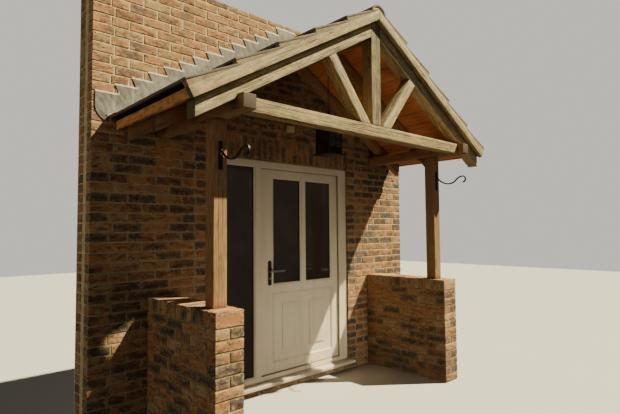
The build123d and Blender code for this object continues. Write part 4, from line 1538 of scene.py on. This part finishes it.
def camera():
    """Camera at the photograph's place."""
    yaw, pitch, roll = math.radians(42.5), math.radians(2.93), math.radians(-0.46)
    ahead = Vector((
        math.sin(yaw) * math.cos(pitch), math.cos(yaw) * math.cos(pitch), math.sin(pitch)
    ))
    right = Vector((math.cos(yaw), -math.sin(yaw), 0))
    up = right.cross(ahead)
    tilted_right = right * math.cos(roll) + up * math.sin(roll)
    tilted_up = up * math.cos(roll) - right * math.sin(roll)
    data = bpy.data.cameras.new("camera")
    data.lens, data.sensor_width, data.sensor_fit = settings("stage").lens, 36.0, "HORIZONTAL"
    data.clip_end = 200
    thing = bpy.data.objects.new("camera", data)
    place = Matrix((tilted_right, tilted_up, -ahead)).transposed().to_4x4()
    place.translation = (-2.9467, -3.0976, 1.5174)
    thing.matrix_world = place
    bpy.context.scene.collection.objects.link(thing)
    bpy.context.scene.camera = thing


def stage():
    """Camera, plain floor and soft light."""
    kit = settings("stage")
    scene = bpy.context.scene
    camera()

    bm = bmesh.new()
    bmesh.ops.create_grid(bm, x_segments=24, y_segments=24, size=16)
    bmesh.ops.translate(bm, verts=bm.verts, vec=(0, 0, -0.0005))
    floor = bpy.data.objects.new("floor", baked(bm, "floor"))
    scene.collection.objects.link(floor)
    ground = Finish("floor")
    cloud = ground.speckle(ground.where, 0.8, 4.0, 0.5)
    ground.base = ground.blend(cloud, kit.floor, toned(kit.floor, 0.94))
    fine = ground.speckle(ground.where, 60.0)
    floor.data.materials.append(ground.done(0.85, fine, 0.1, 0.001))
    floor.visible_diffuse = floor.visible_glossy = floor.visible_transmission = False

    data = bpy.data.lights.new("sun", "SUN")
    data.energy, data.angle, data.color = kit.sun, math.radians(1.0), (1.0, 0.90, 0.61)
    stand("sun", data, (0, 0, 0), SUNLIGHT)
    unlit = bpy.data.collections.new("floor without fill light")
    unlit.objects.link(floor)
    unlit.collection_objects[0].light_linking.link_state = "EXCLUDE"
    for name, energy, reach, spread, place, aim in (
        ("fill", 5, 3.0, 180, (-1.2, -5.0, 0.5), (0, 0.5, 0.8)),
        ("bounce", 19, 1.3, 180, (0.3, -2.0, 0.05), (0.0, -0.6, 2.0)),
        ("door bounce", 4, 1.2, 40, (0.9, -3.4, 0.10), (0.25, 0.5, 0.45)),
        ("side", 32, 2.5, 180, (-6.0, 0.0, 2.4), (0, -0.3, 1.6)),
        ("room side", 90, 4.0, 180, (-1.0, 6.5, 2.4), (0, 0.7, 1.4)),
    ):
        data = bpy.data.lights.new(name, "AREA")
        data.energy, data.size, data.color = energy, reach, (1.0, 0.88, 0.70)
        data.spread = math.radians(spread)
        lamp = stand(name, data, place, Vector(aim) - Vector(place))
        lamp.visible_camera = lamp.visible_glossy = lamp.visible_transmission = False
        lamp.light_linking.receiver_collection = unlit
    world = bpy.data.worlds.new("soft sky")
    world.use_nodes = True
    air = Nodes(world.node_tree)
    seen = air.field("ShaderNodeLightPath", None, "Is Camera Ray")
    bright = seen.span(0.0, 1.0, kit.sky, kit.backdrop)
    air.fill(world.node_tree.nodes["Background"], {0: (1.0, 0.95, 0.87, 1.0), 1: bright})
    scene.world = world


class PORCH_OT_house_wall(bpy.types.Operator):
    """Bricks, mortar and plaster of the house wall"""

    bl_idname = "porch.house_wall"
    bl_label = "House wall"

    def execute(self, context):
        house_wall()
        return {"FINISHED"}


class PORCH_OT_dwarf_walls(bpy.types.Operator):
    """Bricks and mortar of the two low walls"""

    bl_idname = "porch.dwarf_walls"
    bl_label = "Dwarf walls"

    def execute(self, context):
        for side, end, _ in SIDES:
            dwarf_wall(side, end)
        return {"FINISHED"}


class PORCH_OT_oak_frame(bpy.types.Operator):
    """Posts, plates, truss and rafters"""

    bl_idname = "porch.oak_frame"
    bl_label = "Oak frame"

    def execute(self, context):
        oak_frame()
        return {"FINISHED"}


class PORCH_OT_oak_boards(bpy.types.Operator):
    """Soffit boards, bargeboards and fascias"""

    bl_idname = "porch.oak_boards"
    bl_label = "Oak boards"

    def execute(self, context):
        oak_boards()
        return {"FINISHED"}


class PORCH_OT_hidden_parts(bpy.types.Operator):
    """Finish of the battens"""

    bl_idname = "porch.hidden_parts"
    bl_label = "Hidden parts"

    def execute(self, context):
        hidden_parts()
        return {"FINISHED"}


class PORCH_OT_roof_tiles(bpy.types.Operator):
    """Tiles and verge mortar"""

    bl_idname = "porch.roof_tiles"
    bl_label = "Roof tiles"

    def execute(self, context):
        roof_tiles()
        return {"FINISHED"}


class PORCH_OT_ridge(bpy.types.Operator):
    """Ridge tiles and their mortar"""

    bl_idname = "porch.ridge"
    bl_label = "Ridge"

    def execute(self, context):
        ridge()
        return {"FINISHED"}


class PORCH_OT_flashings(bpy.types.Operator):
    """Stepped lead flashings"""

    bl_idname = "porch.flashings"
    bl_label = "Flashings"

    def execute(self, context):
        flashings()
        return {"FINISHED"}


class PORCH_OT_door_frame(bpy.types.Operator):
    """Frame, sill, sidelight and seal"""

    bl_idname = "porch.door_frame"
    bl_label = "Door frame"

    def execute(self, context):
        door_frame()
        return {"FINISHED"}


class PORCH_OT_door_leaf(bpy.types.Operator):
    """Leaf, panes, beads and gaskets"""

    bl_idname = "porch.door_leaf"
    bl_label = "Door leaf"

    def execute(self, context):
        door_leaf()
        return {"FINISHED"}


class PORCH_OT_door_furniture(bpy.types.Operator):
    """Handles, lock and hinges"""

    bl_idname = "porch.door_furniture"
    bl_label = "Door furniture"

    def execute(self, context):
        door_furniture()
        return {"FINISHED"}


class PORCH_OT_lantern(bpy.types.Operator):
    """Hanging lantern and chain"""

    bl_idname = "porch.lantern"
    bl_label = "Lantern"

    def execute(self, context):
        lantern()
        return {"FINISHED"}


class PORCH_OT_brackets(bpy.types.Operator):
    """Iron brackets on the posts"""

    bl_idname = "porch.brackets"
    bl_label = "Basket brackets"

    def execute(self, context):
        brackets()
        return {"FINISHED"}


class PORCH_OT_wall_box(bpy.types.Operator):
    """Small box over the door"""

    bl_idname = "porch.wall_box"
    bl_label = "Wall box"

    def execute(self, context):
        wall_box()
        return {"FINISHED"}


class PORCH_OT_stage(bpy.types.Operator):
    """Camera, floor and light"""

    bl_idname = "porch.stage"
    bl_label = "Stage"

    def execute(self, context):
        stage()
        return {"FINISHED"}


OPERATORS = (
    PORCH_OT_house_wall, PORCH_OT_dwarf_walls, PORCH_OT_oak_frame, PORCH_OT_oak_boards,
    PORCH_OT_hidden_parts, PORCH_OT_roof_tiles, PORCH_OT_ridge, PORCH_OT_flashings,
    PORCH_OT_door_frame, PORCH_OT_door_leaf, PORCH_OT_door_furniture, PORCH_OT_lantern,
    PORCH_OT_brackets, PORCH_OT_wall_box, PORCH_OT_stage,
)


class PORCH_PT_looks(bpy.types.Panel):
    """Lists the steps that dress the porch."""

    bl_label = "Porch"
    bl_space_type = "VIEW_3D"
    bl_region_type = "UI"
    bl_category = "Porch"

    def draw(self, context):
        for item in OPERATORS:
            self.layout.operator(item.bl_idname)


SETTINGS = (
    ("porch_brickwork", BrickworkSettings), ("porch_oak", OakSettings),
    ("porch_roof", RoofSettings), ("porch_door", DoorSettings),
    ("porch_metal", MetalSettings), ("porch_stage", StageSettings),
)


def register():
    for name, kind in SETTINGS:
        bpy.utils.register_class(kind)
        setattr(bpy.types.Scene, name, PointerProperty(type=kind))
    for item in (*OPERATORS, PORCH_PT_looks):
        bpy.utils.register_class(item)


def unregister():
    for item in (PORCH_PT_looks, *reversed(OPERATORS)):
        bpy.utils.unregister_class(item)
    for name, kind in reversed(SETTINGS):
        delattr(bpy.types.Scene, name)
        bpy.utils.unregister_class(kind)


def main():
    """Dresses the whole porch."""
    register()
    make_grain_effect()
    make_weather_effect()
    make_corner_effect()
    for item in OPERATORS:
        getattr(bpy.ops.porch, item.bl_idname.split(".")[1])()


if __name__ == "__main__":
    main()
